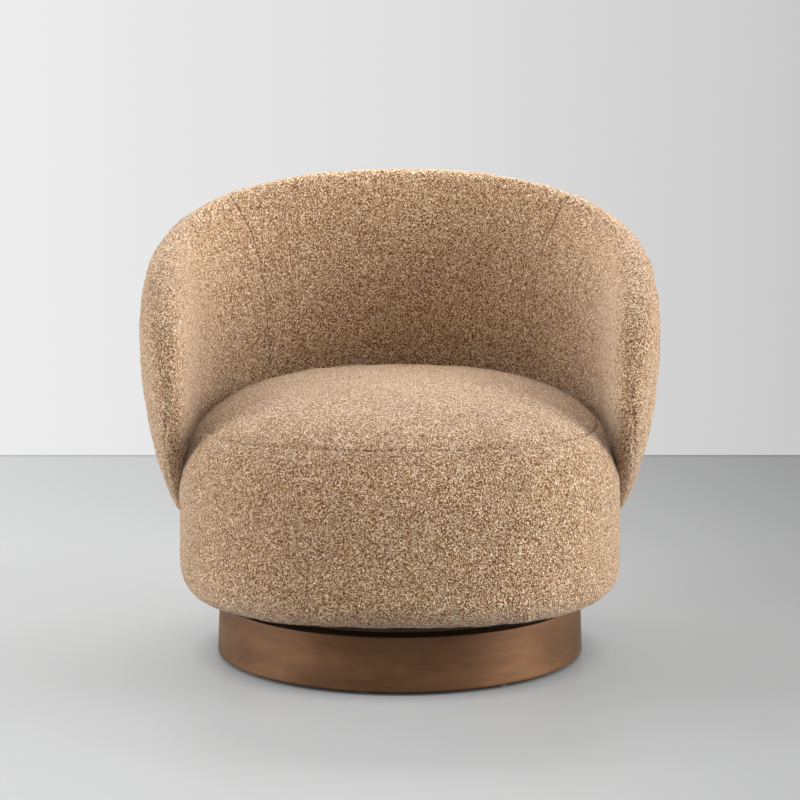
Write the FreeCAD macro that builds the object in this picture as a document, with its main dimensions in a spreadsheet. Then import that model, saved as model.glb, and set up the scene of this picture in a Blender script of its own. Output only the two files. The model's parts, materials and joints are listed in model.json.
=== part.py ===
import FreeCAD, Part
import math
import os

import Sketcher

# Swivel barrel chair: a rounded drum seat and a wrap-round back shell on a low metal plinth.
# Frame: +X to the sitter's left-hand side seen from the front, +Y to the back, +Z up.
# The origin is on the floor, on the swivel axis. All lengths are in millimetres.

V = FreeCAD.Vector
os.makedirs("parts", exist_ok=True)
doc = FreeCAD.newDocument("swivel_barrel_chair")

# ---------------------------------------------------------------------------------------------
# Driving sizes
# ---------------------------------------------------------------------------------------------
SIZES = [
    # plinth
    ("glide_height", 5.0, "nylon glide, from floor to plinth"),
    ("glide_radius", 11.0, "radius of a glide"),
    ("glide_set", 20.0, "glides, distance of their centres from the plinth's edge"),
    ("glide_count", 8, "number of glides"),
    ("glide_first", 259.0, "direction of the first glide, degrees from +X"),
    ("glide_recess", 1.6, "depth of the nail's recess in a glide"),
    ("nail_radius", 1.4, "shank of a glide nail"),
    ("nail_head", 3.6, "head radius of a glide nail"),
    ("nail_length", 14.0, "shank length of a glide nail"),
    ("band_low_radius", 278.0, "plinth band, outer radius at the bottom edge"),
    ("band_top_radius", 274.8, "plinth band, outer radius at the top edge"),
    ("band_height", 80.0, "height of the plinth band"),
    ("band_sheet", 1.5, "sheet thickness of the plinth band"),
    ("band_lip", 30.0, "width of the turned-in lips of the band"),
    ("board_gap", 0.5, "clearance between plinth boards and band"),
    ("low_board", 12.0, "thickness of the plinth's bottom board"),
    ("low_board_hole", 120.0, "radius of the bottom board's hole"),
    ("top_board", 18.0, "thickness of the plinth's top board"),
    ("block_count", 8, "number of spacer blocks in the plinth"),
    ("block_length", 60.0, "radial length of a spacer block"),
    ("block_width", 38.0, "width of a spacer block"),
    ("block_set", 56.0, "blocks, distance of their centres from the plinth's edge"),
    ("screw_radius", 2.5, "wood screw shank radius"),
    ("screw_head", 5.0, "wood screw head radius"),
    ("screw_length", 32.0, "wood screw length under the head"),
    ("hole_gap", 0.1, "radial clearance of screws, bolts and nuts in their holes"),
    # swivel
    ("swivel_height", 29.5, "from the plinth's top board to the seat board"),
    ("plate_side", 180.0, "side of the square swivel plates"),
    ("plate_corner", 14.0, "corner radius of the swivel plates"),
    ("plate_sheet", 3.0, "sheet thickness of the swivel plates"),
    ("plate_bolts", 148.0, "spacing of the swivel bolts"),
    ("race_radius", 58.0, "radius of the ball race"),
    ("race_rise", 12.2, "height of the pressed dish that holds the race"),
    ("dish_foot", 84.0, "radius of the dish where it meets the flat plate"),
    ("dish_top", 72.0, "radius of the dish's flat top"),
    ("ball_radius", 5.5, "bearing ball radius"),
    ("ball_count", 16, "number of bearing balls"),
    ("ball_gap", 0.05, "running clearance of the balls in the races"),
    ("cage_sheet", 1.5, "thickness of the ball cage"),
    ("cage_width", 20.0, "radial width of the ball cage"),
    ("pin_radius", 8.0, "centre rivet radius"),
    ("pin_bore", 5.0, "bore radius of the hollow centre rivet"),
    ("pin_head", 13.0, "head radius of the centre rivet"),
    ("pin_head_height", 2.0, "head thickness of the centre rivet"),
    ("pin_gap", 0.08, "running clearance of the centre rivet"),
    ("washer_sheet", 1.0, "thickness of the nylon washer"),
    ("bolt_radius", 4.0, "swivel and back bolts, shank radius"),
    ("bolt_head", 6.5, "hexagon head, centre to flat"),
    ("bolt_head_height", 5.3, "hexagon head height"),
    ("nut_barrel", 5.0, "tee nut barrel radius"),
    ("nut_flange", 10.0, "tee nut flange radius"),
    ("nut_sheet", 1.5, "tee nut flange thickness"),
    ("nut_depth", 9.0, "tee nut barrel length"),
    # seat drum
    ("drum_bite", 23.8, "depth by which the drum's sides sink into the arms"),
    ("drum_rear_bite", 86.0, "depth by which the drum's rear sinks into the back"),
    ("drum_centre", -20.0, "drum centre, behind the swivel axis"),
    ("drum_squareness", 2.5, "exponent of the drum's plan"),
    ("drum_corner", 40.0, "radius of the drum's lower edge"),
    ("drum_shoulder", 262.0, "height where the drum's side starts to dome"),
    ("drum_crown", 430.0, "top of the seat"),
    ("dome_squareness", 2.6, "exponent of the seat's dome"),
    ("seat_seam", 360.0, "height of the seam between seat and border"),
    ("cover", 3.0, "thickness of the looped pile cover with its backing"),
    ("soft_gap", 0.5, "clearance between soft layers"),
    ("side_wadding", 40.0, "foam on the drum's side"),
    ("side_board", 3.0, "fibreboard round the drum"),
    ("hem", 42.0, "width of the border's hem under the drum"),
    ("dust_sheet", 0.8, "thickness of the dust cloth"),
    ("dust_lap", 10.0, "lap of the dust cloth on the hem"),
    ("dust_hole", 150.0, "radius of the dust cloth's opening round the swivel"),
    ("seat_board", 18.0, "thickness of the seat's bottom board"),
    ("seat_rail", 20.0, "thickness of the seat rail"),
    ("seat_rail_width", 72.0, "width of the seat rail"),
    ("seat_post_count", 8, "number of posts in the drum"),
    ("seat_post_width", 45.0, "width of a drum post"),
    ("seat_post_depth", 28.0, "depth of a drum post"),
    ("seat_post_set", 6.0, "set-back of the drum posts from the board's edge"),
    # spring deck
    ("spring_count", 5, "number of sinuous springs"),
    ("spring_edge", 160.8, "outermost springs, distance from the drum's side"),
    ("spring_wire", 2.0, "radius of the spring wire"),
    ("spring_apart", 44.0, "distance between two springs' cross bars, from loop's start to loop's start"),
    ("spring_pitch", 36.0, "spacing of a spring's cross bars"),
    ("spring_lap", 30.0, "lap of a spring on the seat rail"),
    ("tie_wire", 1.2, "radius of the tie wires"),
    ("tie_half_spacing", 75.0, "tie wires, distance from the seat's centre"),
    ("clip_sheet", 1.2, "sheet thickness of a spring clip"),
    ("clip_width", 22.0, "width of a spring clip"),
    ("clip_foot", 12.0, "length of a clip's foot"),
    ("pad_felt", 3.0, "felt pad on the springs"),
    # back shell
    ("arm_half_width", 392.0, "back shell, outer half width"),
    ("back_depth", 360.4, "back shell, outer face behind the swivel axis"),
    ("arm_thickness", 87.0, "thickness of an arm at the seat"),
    ("back_thickness", 128.4, "thickness of the back in the middle"),
    ("outer_squareness", 2.0, "exponent of the outer plan, at the belly and above"),
    ("hem_squareness", 2.5, "exponent of the outer plan at the bottom, as square as the drum"),
    ("inner_squareness", 2.1, "exponent of the inner plan"),
    ("arm_start", -20.0, "where the plan turns from curve to straight arm"),
    ("arm_nose", -196.0, "front end of the arms"),
    ("arm_toe_in", 0.04, "share by which the arms close towards the front"),
    ("curve_share", 0.75, "share of the stations on the curved back"),
    ("nose_height", 430.0, "height of the arms' front ends"),
    ("back_height", 720.5, "top of the back"),
    ("shell_lift", 6.0, "lowest line of the back shell, above the drum's underside"),
    ("rim_fall", 1.07, "exponent of the rim's fall to the arms"),
    ("hem_rise", 1.43, "exponent of the lower edge's rise to the arms"),
    ("nose_round", 11.0, "exponent of the arms' rounded front ends"),
    ("belly_height", 585.0, "height where the outer face is widest"),
    ("side_taper", 0.18, "share by which the sides draw in at the bottom"),
    ("rear_taper", 0.05, "share by which the rear draws in at the bottom"),
    ("taper_power", 2.05, "exponent of the draw towards the bottom"),
    ("top_taper", 0.117, "share by which the outer face draws in at the top"),
    ("top_lean", 0.005, "share by which the inner face opens at the top"),
    ("roll_squareness", 2.6, "exponent of the shell's rolled section"),
    ("foam_foot", 58.0, "more foam below the back frame, at the hem"),
    ("thin_over", 20.0, "height over the seat from which the inner foam is full"),
    ("thin_run", 150.0, "height over which the inner foam thins, down behind the drum"),
    ("thin_share", 0.25, "thin inner foam, as a share of the full one"),
    ("foam_split", 0.5, "meeting of inner and outer foams, as a share from the inner to the outer face"),
    ("seam_place", 0.73, "place of the rim seam, as a share from the inner to the outer face"),
    ("panel_seam_set", 83.0, "inside back seams, distance from the arms' inner faces"),
    ("drum_gap", 0.5, "clearance between back shell and drum"),
    ("inner_foam", 32.0, "foam on the inside of the back"),
    ("outer_foam", 9.0, "foam on the outside of the back"),
    ("rim_foam", 22.0, "foam over the rim and the nose"),
    ("liner", 2.0, "fibreboard and webbing between foam and frame"),
    ("rib", 18.0, "thickness of the plywood ribs"),
    ("rib_arm_drop", 9.0, "arm rib, depth below the arms' front ends"),
    ("rib_shoulder_drop", 168.5, "shoulder rib, depth below the top of the back"),
    ("rib_top_drop", 65.5, "top rib, depth below the top of the back"),
    ("post", 22.0, "thickness of the back posts"),
    ("webbing_width", 50.0, "width of a webbing strap"),
    ("webbing_low_drop", 242.5, "lower webbing strap, depth below the top of the back"),
    ("webbing_high_drop", 130.5, "upper webbing strap, depth below the top of the back"),
    ("back_bolt_near", 55.0, "inner pair of back bolts, distance from the middle"),
    ("back_bolt_far", 130.0, "outer pair of back bolts, distance from the middle"),
    ("spacer_radius", 16.0, "radius of the spacers round the back bolts"),
    ("spot_depth", 2.0, "depth of the spot face under a back bolt's nut"),
]

sheet = doc.addObject("Spreadsheet::Sheet", "Sizes")
for row, (alias, number, meaning) in enumerate(SIZES, start=1):
    sheet.set(f"A{row}", meaning)
    sheet.set(f"B{row}", str(number))
    sheet.setAlias(f"B{row}", alias)
doc.recompute()


def value(expression):
    """The number that an expression on the sheet gives."""
    return float(sheet.evalExpression(expression))


def size(alias):
    """One driving size."""
    return float(sheet.get(alias))


# Heights and radii that follow from the sizes, written once as expressions.
BAND_TOP = "(Sizes.glide_height + Sizes.band_height)"
GLIDE_CIRCLE = "(Sizes.band_low_radius - Sizes.glide_set)"
BLOCK_CIRCLE = "(Sizes.band_low_radius - Sizes.block_set)"
ARM_INSIDE = "(Sizes.arm_half_width - Sizes.arm_thickness)"
BACK_INSIDE = "(Sizes.back_depth - Sizes.back_thickness)"
DRUM_HALF_WIDTH = f"({ARM_INSIDE} + Sizes.drum_bite)"
DRUM_HALF_DEPTH = f"({BACK_INSIDE} + Sizes.drum_rear_bite - Sizes.drum_centre)"
PANEL_SEAM = f"({ARM_INSIDE} - Sizes.panel_seam_set)"
THIN_HIGH = "(Sizes.drum_crown + Sizes.thin_over)"
RIB_ARM = "(Sizes.nose_height - Sizes.rib_arm_drop)"
RIB_SHOULDER = "(Sizes.back_height - Sizes.rib_shoulder_drop)"
RIB_TOP = "(Sizes.back_height - Sizes.rib_top_drop)"
WEBBING_LOW = "(Sizes.back_height - Sizes.webbing_low_drop)"
WEBBING_HIGH = "(Sizes.back_height - Sizes.webbing_high_drop)"
LOW_BOARD_Z = "(Sizes.glide_height + Sizes.band_sheet)"
BLOCK_Z = f"({LOW_BOARD_Z} + Sizes.low_board)"
TOP_BOARD_TOP = f"({BAND_TOP} - Sizes.band_sheet)"
TOP_BOARD_Z = f"({TOP_BOARD_TOP} - Sizes.top_board)"
BOARD_RADIUS = "(Sizes.band_top_radius - Sizes.band_sheet - Sizes.board_gap)"
SEAT_BOARD_Z = f"({TOP_BOARD_TOP} + Sizes.swivel_height)"
SEAT_BOARD_TOP = f"({SEAT_BOARD_Z} + Sizes.seat_board)"
RAIL_Z = "Sizes.drum_shoulder"
RAIL_TOP = f"({RAIL_Z} + Sizes.seat_rail)"
DRUM_BOTTOM = f"({SEAT_BOARD_Z} - Sizes.cover)"
SHELL_BOTTOM = f"({DRUM_BOTTOM} + Sizes.shell_lift)"
BALL_Z = f"({TOP_BOARD_TOP} + Sizes.swivel_height / 2)"
RIB_LOW = f"({RAIL_Z} + (Sizes.seat_rail - Sizes.rib) / 2)"
SPRING_SPACING = f"(2 * ({DRUM_HALF_WIDTH} - Sizes.spring_edge) / (Sizes.spring_count - 1))"
SPRING_HALF = f"(({SPRING_SPACING} - Sizes.spring_apart) / 2)"
SPRING_Z = f"({RAIL_TOP} + 2 * Sizes.tie_wire + Sizes.spring_wire + 2 * Sizes.hole_gap)"
PAD_Z = f"({SPRING_Z} + Sizes.spring_wire + 3 * Sizes.hole_gap)"
DECK_TOP = f"({PAD_Z} + Sizes.pad_felt + Sizes.soft_gap)"
FRAME_INSET = "(Sizes.cover + Sizes.side_wadding + Sizes.side_board + 2 * Sizes.soft_gap)"

nodes = []


def keep(item, label):
    """Name a finished sub-part and put it on the list of pieces to write."""
    item.Label = label
    nodes.append(item)
    return item


def bind(item, **expressions):
    """Bind properties of an object to expressions on the sheet."""
    for name, expression in expressions.items():
        item.setExpression(name, expression)
    return item


def place(item, x="0", y="0", z="0", axis=None, angle="0"):
    """Bind an object's position, and its turn about an axis where one is given."""
    if axis is not None:
        item.Placement = FreeCAD.Placement(V(0, 0, 0), FreeCAD.Rotation(axis, value(angle)))
        item.setExpression("Placement.Rotation.Angle", f"({angle}) * 1deg")
    item.setExpression("Placement.Base.x", x)
    item.setExpression("Placement.Base.y", y)
    item.setExpression("Placement.Base.z", z)
    return item


def cylinder(name, radius, height, **where):
    """A bound Part cylinder."""
    item = doc.addObject("Part::Cylinder", name)
    bind(item, Radius=radius, Height=height)
    return place(item, **where)


def cone(name, low, high, height, **where):
    """A bound Part cone."""
    item = doc.addObject("Part::Cone", name)
    bind(item, Radius1=low, Radius2=high, Height=height)
    return place(item, **where)


def fused(name, items):
    """Several solids made one."""
    item = doc.addObject("Part::MultiFuse", name)
    item.Shapes = items
    return item


def grouped(name, items):
    """Several separate solids in one object."""
    item = doc.addObject("Part::Compound", name)
    item.Links = items
    return item


def cut(name, base, tool):
    """One solid less another."""
    item = doc.addObject("Part::Cut", name)
    item.Base = base
    item.Tool = tool
    return item


def solid_feature(name, shape):
    """A sub-part whose shape comes from Part's own functions."""
    item = doc.addObject("Part::Feature", name)
    item.Shape = shape
    return item


def around(radius, count, first, index):
    """Expressions for the index-th place of a ring of equal places."""
    angle = f"({first} + {index} * 360 / {count})"
    return f"({radius}) * cos({angle} * 1deg)", f"({radius}) * sin({angle} * 1deg)", angle


def faceted(rows):
    """A closed solid of flat triangles over rows of points, each row a closed ring, with flat ends."""
    count = len(rows[0])
    points = [point for row in rows for point in row]
    facets = []
    for row in range(len(rows) - 1):
        for index in range(count):
            low, low_next = row * count + index, row * count + (index + 1) % count
            high, high_next = low + count, low_next + count
            if row < (len(rows) - 1) / 2:
                facets += [(low, low_next, high), (low_next, high_next, high)]
            else:
                facets += [(low, low_next, high_next), (low, high_next, high)]
    skin = Part.Shape()
    skin.makeShapeFromMesh((points, facets), 0.001)
    ends = [Part.Face(Part.makePolygon(row + [row[0]])) for row in (rows[0], rows[-1])]
    shell = Part.Shell(skin.Faces + ends)
    shell.sewShape()
    return Part.Solid(shell if isinstance(shell, Part.Shell) else shell.Shells[0])


def origin_plane(body, role):
    """One of a body's own origin planes."""
    return next(item for item in body.Origin.OriginFeatures if item.Role == role)


def sketch_on(body, name, role="XY_Plane"):
    """An empty sketch on one of a body's origin planes."""
    sketch = body.newObject("Sketcher::SketchObject", name)
    sketch.AttachmentSupport = [(origin_plane(body, role), "")]
    sketch.MapMode = "FlatFace"
    return sketch


def outline(sketch, corners):
    """A closed outline of straight lines through corners given as expressions."""
    points = [V(value(x), value(y), 0) for x, y in corners]
    last = len(points)
    for index in range(last):
        sketch.addGeometry(Part.LineSegment(points[index], points[(index + 1) % last]), False)
    for index in range(last):
        sketch.addConstraint(Sketcher.Constraint("Coincident", index, 2, (index + 1) % last, 1))
    for index, corner in enumerate(corners):
        for kind, expression in zip(("DistanceX", "DistanceY"), corner):
            number = sketch.addConstraint(Sketcher.Constraint(kind, -1, 1, index, 1, value(expression)))
            sketch.setExpression(f"Constraints[{number}]", expression)


def circle(sketch, radius, x="0", y="0"):
    """A circle with its radius and centre bound to expressions."""
    middle = V(value(x), value(y), 0)
    index = sketch.addGeometry(Part.Circle(middle, V(0, 0, 1), value(radius)), False)
    number = sketch.addConstraint(Sketcher.Constraint("Radius", index, value(radius)))
    sketch.setExpression(f"Constraints[{number}]", radius)
    for kind, expression in (("DistanceX", x), ("DistanceY", y)):
        number = sketch.addConstraint(Sketcher.Constraint(kind, -1, 1, index, 3, value(expression)))
        sketch.setExpression(f"Constraints[{number}]", expression)


def revolved(body, sketch, name="Revolution"):
    """A full revolution of a sketch about the body's vertical axis."""
    item = body.newObject("PartDesign::Revolution", name)
    item.Profile = sketch
    item.ReferenceAxis = (sketch, ["V_Axis"])
    item.Angle = 360.0
    return item


def padded(body, sketch, length, name="Pad"):
    """A pad of a sketch, upwards."""
    item = body.newObject("PartDesign::Pad", name)
    item.Profile = sketch
    item.setExpression("Length", length)
    return item


def polar(body, feature, count, name="PolarPattern"):
    """A full ring of copies of a feature about the body's vertical axis."""
    item = body.newObject("PartDesign::PolarPattern", name)
    item.Originals = [feature]
    item.Axis = (origin_axis(body, "Z_Axis"), [""])
    item.Angle = 360.0
    item.setExpression("Occurrences", count)
    body.Tip = item
    return item


def origin_axis(body, role):
    """One of a body's own origin axes."""
    return next(item for item in body.Origin.OriginFeatures if item.Role == role)


# ---------------------------------------------------------------------------------------------
# Plinth
# ---------------------------------------------------------------------------------------------
def make_band():
    """The metal band: a slightly tapered wall with a lip turned in at each edge."""
    body = doc.addObject("PartDesign::Body", "BandBody")
    sketch = sketch_on(body, "BandProfile", "XZ_Plane")
    low, top, sheet_, lip = ("Sizes.band_low_radius", "Sizes.band_top_radius",
                             "Sizes.band_sheet", "Sizes.band_lip")
    bottom = "Sizes.glide_height"
    outline(sketch, [
        (f"{low} - {lip}", bottom),
        (low, bottom),
        (top, BAND_TOP),
        (f"{top} - {lip}", BAND_TOP),
        (f"{top} - {lip}", f"{BAND_TOP} - {sheet_}"),
        (f"{top} - {sheet_}", f"{BAND_TOP} - {sheet_}"),
        (f"{low} - {sheet_}", f"{bottom} + {sheet_}"),
        (f"{low} - {lip}", f"{bottom} + {sheet_}"),
    ])
    revolved(body, sketch)
    return body


def wood_screw(name, x, y, z, direction):
    """A countersunk screw with its head's face at z, pointing up (+1) or down (-1)."""
    head_height = "(Sizes.screw_head - Sizes.screw_radius)"
    if direction > 0:
        head = cone(f"{name}Head", "Sizes.screw_head", "Sizes.screw_radius", head_height, x=x, y=y, z=z)
        shank = cylinder(f"{name}Shank", "Sizes.screw_radius", "Sizes.screw_length",
                         x=x, y=y, z=f"{z} + {head_height}")
    else:
        head = cone(f"{name}Head", "Sizes.screw_radius", "Sizes.screw_head", head_height,
                    x=x, y=y, z=f"{z} - {head_height}")
        shank = cylinder(f"{name}Shank", "Sizes.screw_radius", "Sizes.screw_length",
                         x=x, y=y, z=f"{z} - {head_height} - Sizes.screw_length")
    return fused(name, [head, shank])


def screw_hole(name, x, y, z, direction):
    """The hole for a wood screw: the screw's own form with a little clearance."""
    gap = "Sizes.hole_gap"
    head_height = "(Sizes.screw_head - Sizes.screw_radius)"
    if direction > 0:
        head = cone(f"{name}Sink", f"Sizes.screw_head + {gap}", f"Sizes.screw_radius + {gap}", head_height,
                    x=x, y=y, z=z)
        shank = cylinder(f"{name}Bore", f"Sizes.screw_radius + {gap}", f"Sizes.screw_length + {gap}",
                         x=x, y=y, z=f"{z} + {head_height}")
    else:
        head = cone(f"{name}Sink", f"Sizes.screw_radius + {gap}", f"Sizes.screw_head + {gap}", head_height,
                    x=x, y=y, z=f"{z} - {head_height}")
        shank = cylinder(f"{name}Bore", f"Sizes.screw_radius + {gap}", f"Sizes.screw_length + {gap}",
                         x=x, y=y, z=f"{z} - {head_height} - Sizes.screw_length - {gap}")
    return fused(name, [head, shank])


def hex_bolt(name, x, y, z, length, direction):
    """A hexagon bolt with the underside of its head at z, its shank pointing up or down."""
    head = doc.addObject("Part::Prism", f"{name}Head")
    head.Polygon = 6
    bind(head, Circumradius="Sizes.bolt_head / cos(30deg)", Height="Sizes.bolt_head_height")
    if direction > 0:
        place(head, x=x, y=y, z=f"{z} - Sizes.bolt_head_height")
        shank = cylinder(f"{name}Shank", "Sizes.bolt_radius", length, x=x, y=y, z=z)
    else:
        place(head, x=x, y=y, z=z)
        shank = cylinder(f"{name}Shank", "Sizes.bolt_radius", length, x=x, y=y, z=f"{z} - ({length})")
    return fused(name, [head, shank])


def tee_nut(name, x, y, z, direction):
    """A tee nut with its flange on a board's face at z and its barrel in the board."""
    barrel_base = f"{z} - Sizes.nut_depth" if direction > 0 else z
    flange_base = z if direction > 0 else f"{z} - Sizes.nut_sheet"
    barrel = cylinder(f"{name}Barrel", "Sizes.nut_barrel", "Sizes.nut_depth", x=x, y=y, z=barrel_base)
    flange = cylinder(f"{name}Flange", "Sizes.nut_flange", "Sizes.nut_sheet", x=x, y=y, z=flange_base)
    bore = cylinder(f"{name}Bore", "Sizes.bolt_radius + Sizes.hole_gap", "2 * Sizes.nut_depth",
                    x=x, y=y, z=f"{barrel_base} - Sizes.nut_sheet - 1")
    return cut(name, fused(f"{name}Solid", [barrel, flange]), bore)


def nut_hole(name, x, y, z, thickness, direction):
    """The stepped hole in a board for a bolt and the tee nut at its face at z."""
    gap = "Sizes.hole_gap"
    barrel_base = f"{z} - Sizes.nut_depth - {gap}" if direction > 0 else z
    barrel = cylinder(f"{name}Barrel", f"Sizes.nut_barrel + {gap}", f"Sizes.nut_depth + {gap}",
                      x=x, y=y, z=barrel_base)
    through = cylinder(f"{name}Through", f"Sizes.bolt_radius + {gap}", f"{thickness} + 2",
                       x=x, y=y, z=f"{z} - {thickness} - 1" if direction > 0 else f"{z} - 1")
    return fused(name, [barrel, through])


def bolt_places(angle):
    """The four corners of the swivel's bolt square, turned by an angle in degrees."""
    return [around("Sizes.plate_bolts / sqrt(2)", "4", f"(45 + {angle})", index)[:2] for index in range(4)]


def make_plinth():
    """Band, two boards with spacer blocks between them, screws and glides."""
    glides = []
    nails = []
    nail_holes = []
    recess_top = "(Sizes.glide_height - Sizes.glide_recess)"
    for index in range(int(size("glide_count"))):
        x, y, _ = around(GLIDE_CIRCLE, "Sizes.glide_count", "Sizes.glide_first", index)
        foot = cone(f"GlideFoot{index}", "Sizes.glide_radius - 1", "Sizes.glide_radius",
                    "Sizes.glide_height", x=x, y=y)
        sink = cylinder(f"GlideSink{index}", "Sizes.nail_head + Sizes.hole_gap", recess_top, x=x, y=y)
        bore = cylinder(f"GlideBore{index}", "Sizes.nail_radius + Sizes.hole_gap", "Sizes.glide_height",
                        x=x, y=y)
        glides.append(cut(f"Glide{index}", foot, fused(f"GlideHole{index}", [sink, bore])))
        head = cylinder(f"NailHead{index}", "Sizes.nail_head", "1.2", x=x, y=y, z=f"{recess_top} - 1.2")
        shank = cylinder(f"NailShank{index}", "Sizes.nail_radius", "Sizes.nail_length",
                         x=x, y=y, z=recess_top)
        nails.append(fused(f"Nail{index}", [head, shank]))
        nail_holes.append(cylinder(f"NailHole{index}", "Sizes.nail_radius + Sizes.hole_gap",
                                   "Sizes.nail_length + Sizes.hole_gap", x=x, y=y, z=recess_top))
    keep(grouped("Glides", glides), "glides")
    keep(grouped("GlideNails", nails), "glide_nails")
    keep(cut("Band", make_band(), grouped("BandNailHoles", nail_holes)), "base_band")

    blocks = []
    top_screws = []
    low_screws = []
    top_holes = []
    low_holes = []
    for index in range(int(size("block_count"))):
        x, y, angle = around(BLOCK_CIRCLE, "Sizes.block_count", "0", index)
        block = doc.addObject("Part::Box", f"Block{index}")
        bind(block, Length="Sizes.block_length", Width="Sizes.block_width",
             Height=f"{TOP_BOARD_Z} - {BLOCK_Z}")
        half_length, half_width = "Sizes.block_length / 2", "Sizes.block_width / 2"
        corner_x = f"{x} - {half_length} * cos({angle} * 1deg) + {half_width} * sin({angle} * 1deg)"
        corner_y = f"{y} - {half_length} * sin({angle} * 1deg) - {half_width} * cos({angle} * 1deg)"
        place(block, x=corner_x, y=corner_y, z=BLOCK_Z, axis=V(0, 0, 1), angle=angle)
        top_screws.append(wood_screw(f"TopScrew{index}", x, y, TOP_BOARD_TOP, -1))
        low_screws.append(wood_screw(f"LowScrew{index}", x, y, LOW_BOARD_Z, +1))
        top_holes.append(screw_hole(f"TopScrewHole{index}", x, y, TOP_BOARD_TOP, -1))
        low_holes.append(screw_hole(f"LowScrewHole{index}", x, y, LOW_BOARD_Z, +1))
        blocks.append(block)
    # The two screws of a block stand on one line, so each is shorter than half of the stack.
    block_cuts = []
    for index, block in enumerate(blocks):
        pair = grouped(f"BlockHoles{index}", [top_holes[index], low_holes[index]])
        block_cuts.append(cut(f"BlockCut{index}", block, pair))
    keep(grouped("SpacerBlocks", block_cuts), "base_spacer_blocks")
    keep(grouped("TopScrews", top_screws), "base_top_screws")
    keep(grouped("LowScrews", low_screws), "base_bottom_screws")

    low_board = doc.addObject("PartDesign::Body", "LowBoardBody")
    sketch = sketch_on(low_board, "LowBoardOutline")
    circle(sketch, BOARD_RADIUS)
    circle(sketch, "Sizes.low_board_hole")
    padded(low_board, sketch, "Sizes.low_board", "LowBoardPad")
    place(low_board, z=LOW_BOARD_Z)
    low_tools = grouped("LowBoardHoles", low_holes + nail_holes)
    keep(cut("LowBoard", low_board, low_tools), "base_bottom_board")

    top_board = doc.addObject("PartDesign::Body", "TopBoardBody")
    sketch = sketch_on(top_board, "TopBoardOutline")
    circle(sketch, BOARD_RADIUS)
    padded(top_board, sketch, "Sizes.top_board", "TopBoardPad")
    place(top_board, z=TOP_BOARD_Z)
    bolt_holes = [nut_hole(f"LowBoltHole{index}", x, y, TOP_BOARD_Z, "Sizes.top_board", -1)
                  for index, (x, y) in enumerate(bolt_places("0"))]
    top_tools = grouped("TopBoardHoles", top_holes + bolt_holes)
    keep(cut("TopBoard", top_board, top_tools), "base_top_board")


# ---------------------------------------------------------------------------------------------
# Ball-bearing swivel
# ---------------------------------------------------------------------------------------------
BALL_TILTS = (-80, -45, -15, 15, 45, 80)
BALL_POINTS = 8


def make_swivel_plate(name):
    """A square plate pressed up into a dish with a vee-shaped ball race in its flat top."""
    body = doc.addObject("PartDesign::Body", f"{name}Body")
    half = "Sizes.plate_side / 2"
    rise, sheet_ = "Sizes.race_rise", "Sizes.plate_sheet"
    race = "Sizes.race_radius"
    # The race's flanks slope at 45 degrees and clear the ball by the running clearance.
    apex = "(Sizes.swivel_height / 2 - (Sizes.ball_radius + Sizes.ball_gap) * sqrt(2))"
    under = f"({apex} - {sheet_} * sqrt(2))"

    flat = sketch_on(body, f"{name}Outline")
    outline(flat, [(f"-{half}", f"-{half}"), (half, f"-{half}"), (half, half), (f"-{half}", half)])
    circle(flat, f"Sizes.dish_foot - {sheet_}")
    padded(body, flat, sheet_, f"{name}Flat")

    dish = sketch_on(body, f"{name}Dish", "XZ_Plane")
    hole = "Sizes.pin_radius + Sizes.pin_gap"
    outline(dish, [
        (f"Sizes.dish_foot - {sheet_}", "0"),
        (f"Sizes.dish_foot", "0"),
        (f"Sizes.dish_foot", sheet_),
        ("Sizes.dish_top", rise),
        (f"{race} + {rise} - {apex}", rise),
        (race, apex),
        (f"{race} - {rise} + {apex}", rise),
        (hole, rise),
        (hole, f"{rise} - {sheet_}"),
        (f"{race} - {rise} + {sheet_} + {under}", f"{rise} - {sheet_}"),
        (race, under),
        (f"{race} + {rise} - {sheet_} - {under}", f"{rise} - {sheet_}"),
        (f"Sizes.dish_top - {sheet_} / 2", f"{rise} - {sheet_}"),
    ])
    revolved(body, dish, f"{name}Press")

    bolt = sketch_on(body, f"{name}BoltHole")
    circle(bolt, "Sizes.bolt_radius + Sizes.hole_gap", "Sizes.plate_bolts / 2", "Sizes.plate_bolts / 2")
    pocket = body.newObject("PartDesign::Pocket", f"{name}Pocket")
    pocket.Profile = bolt
    pocket.Midplane = True
    pocket.setExpression("Length", f"4 * {sheet_}")
    doc.recompute()
    pattern = polar(body, pocket, "4", f"{name}Bolts")
    doc.recompute()
    edges = [f"Edge{number}" for number, edge in enumerate(pattern.Shape.Edges, start=1)
             if corner_edge(edge)]
    corners = body.newObject("PartDesign::Fillet", f"{name}Corners")
    corners.Base = (pattern, edges)
    corners.setExpression("Radius", "Sizes.plate_corner")
    body.Tip = corners
    return body


def corner_edge(edge):
    """True for an upright edge at a corner of the square plate."""
    ends = [vertex.Point for vertex in edge.Vertexes]
    if len(ends) != 2:
        return False
    half = size("plate_side") / 2
    upright = math.hypot(ends[0].x - ends[1].x, ends[0].y - ends[1].y) < 1e-6
    return upright and all(abs(abs(point.x) - half) < 1e-6 and abs(abs(point.y) - half) < 1e-6
                           for point in ends)


def ball_solid(radius):
    """A small ball with few faces, with its corners on the true sphere."""
    rows = []
    for tilt in BALL_TILTS:
        ring = radius * math.cos(math.radians(tilt))
        level = radius * math.sin(math.radians(tilt))
        turns = [2 * math.pi * index / BALL_POINTS for index in range(BALL_POINTS)]
        rows.append([V(ring * math.cos(turn), ring * math.sin(turn), level) for turn in turns])
    return faceted(rows)


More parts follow.
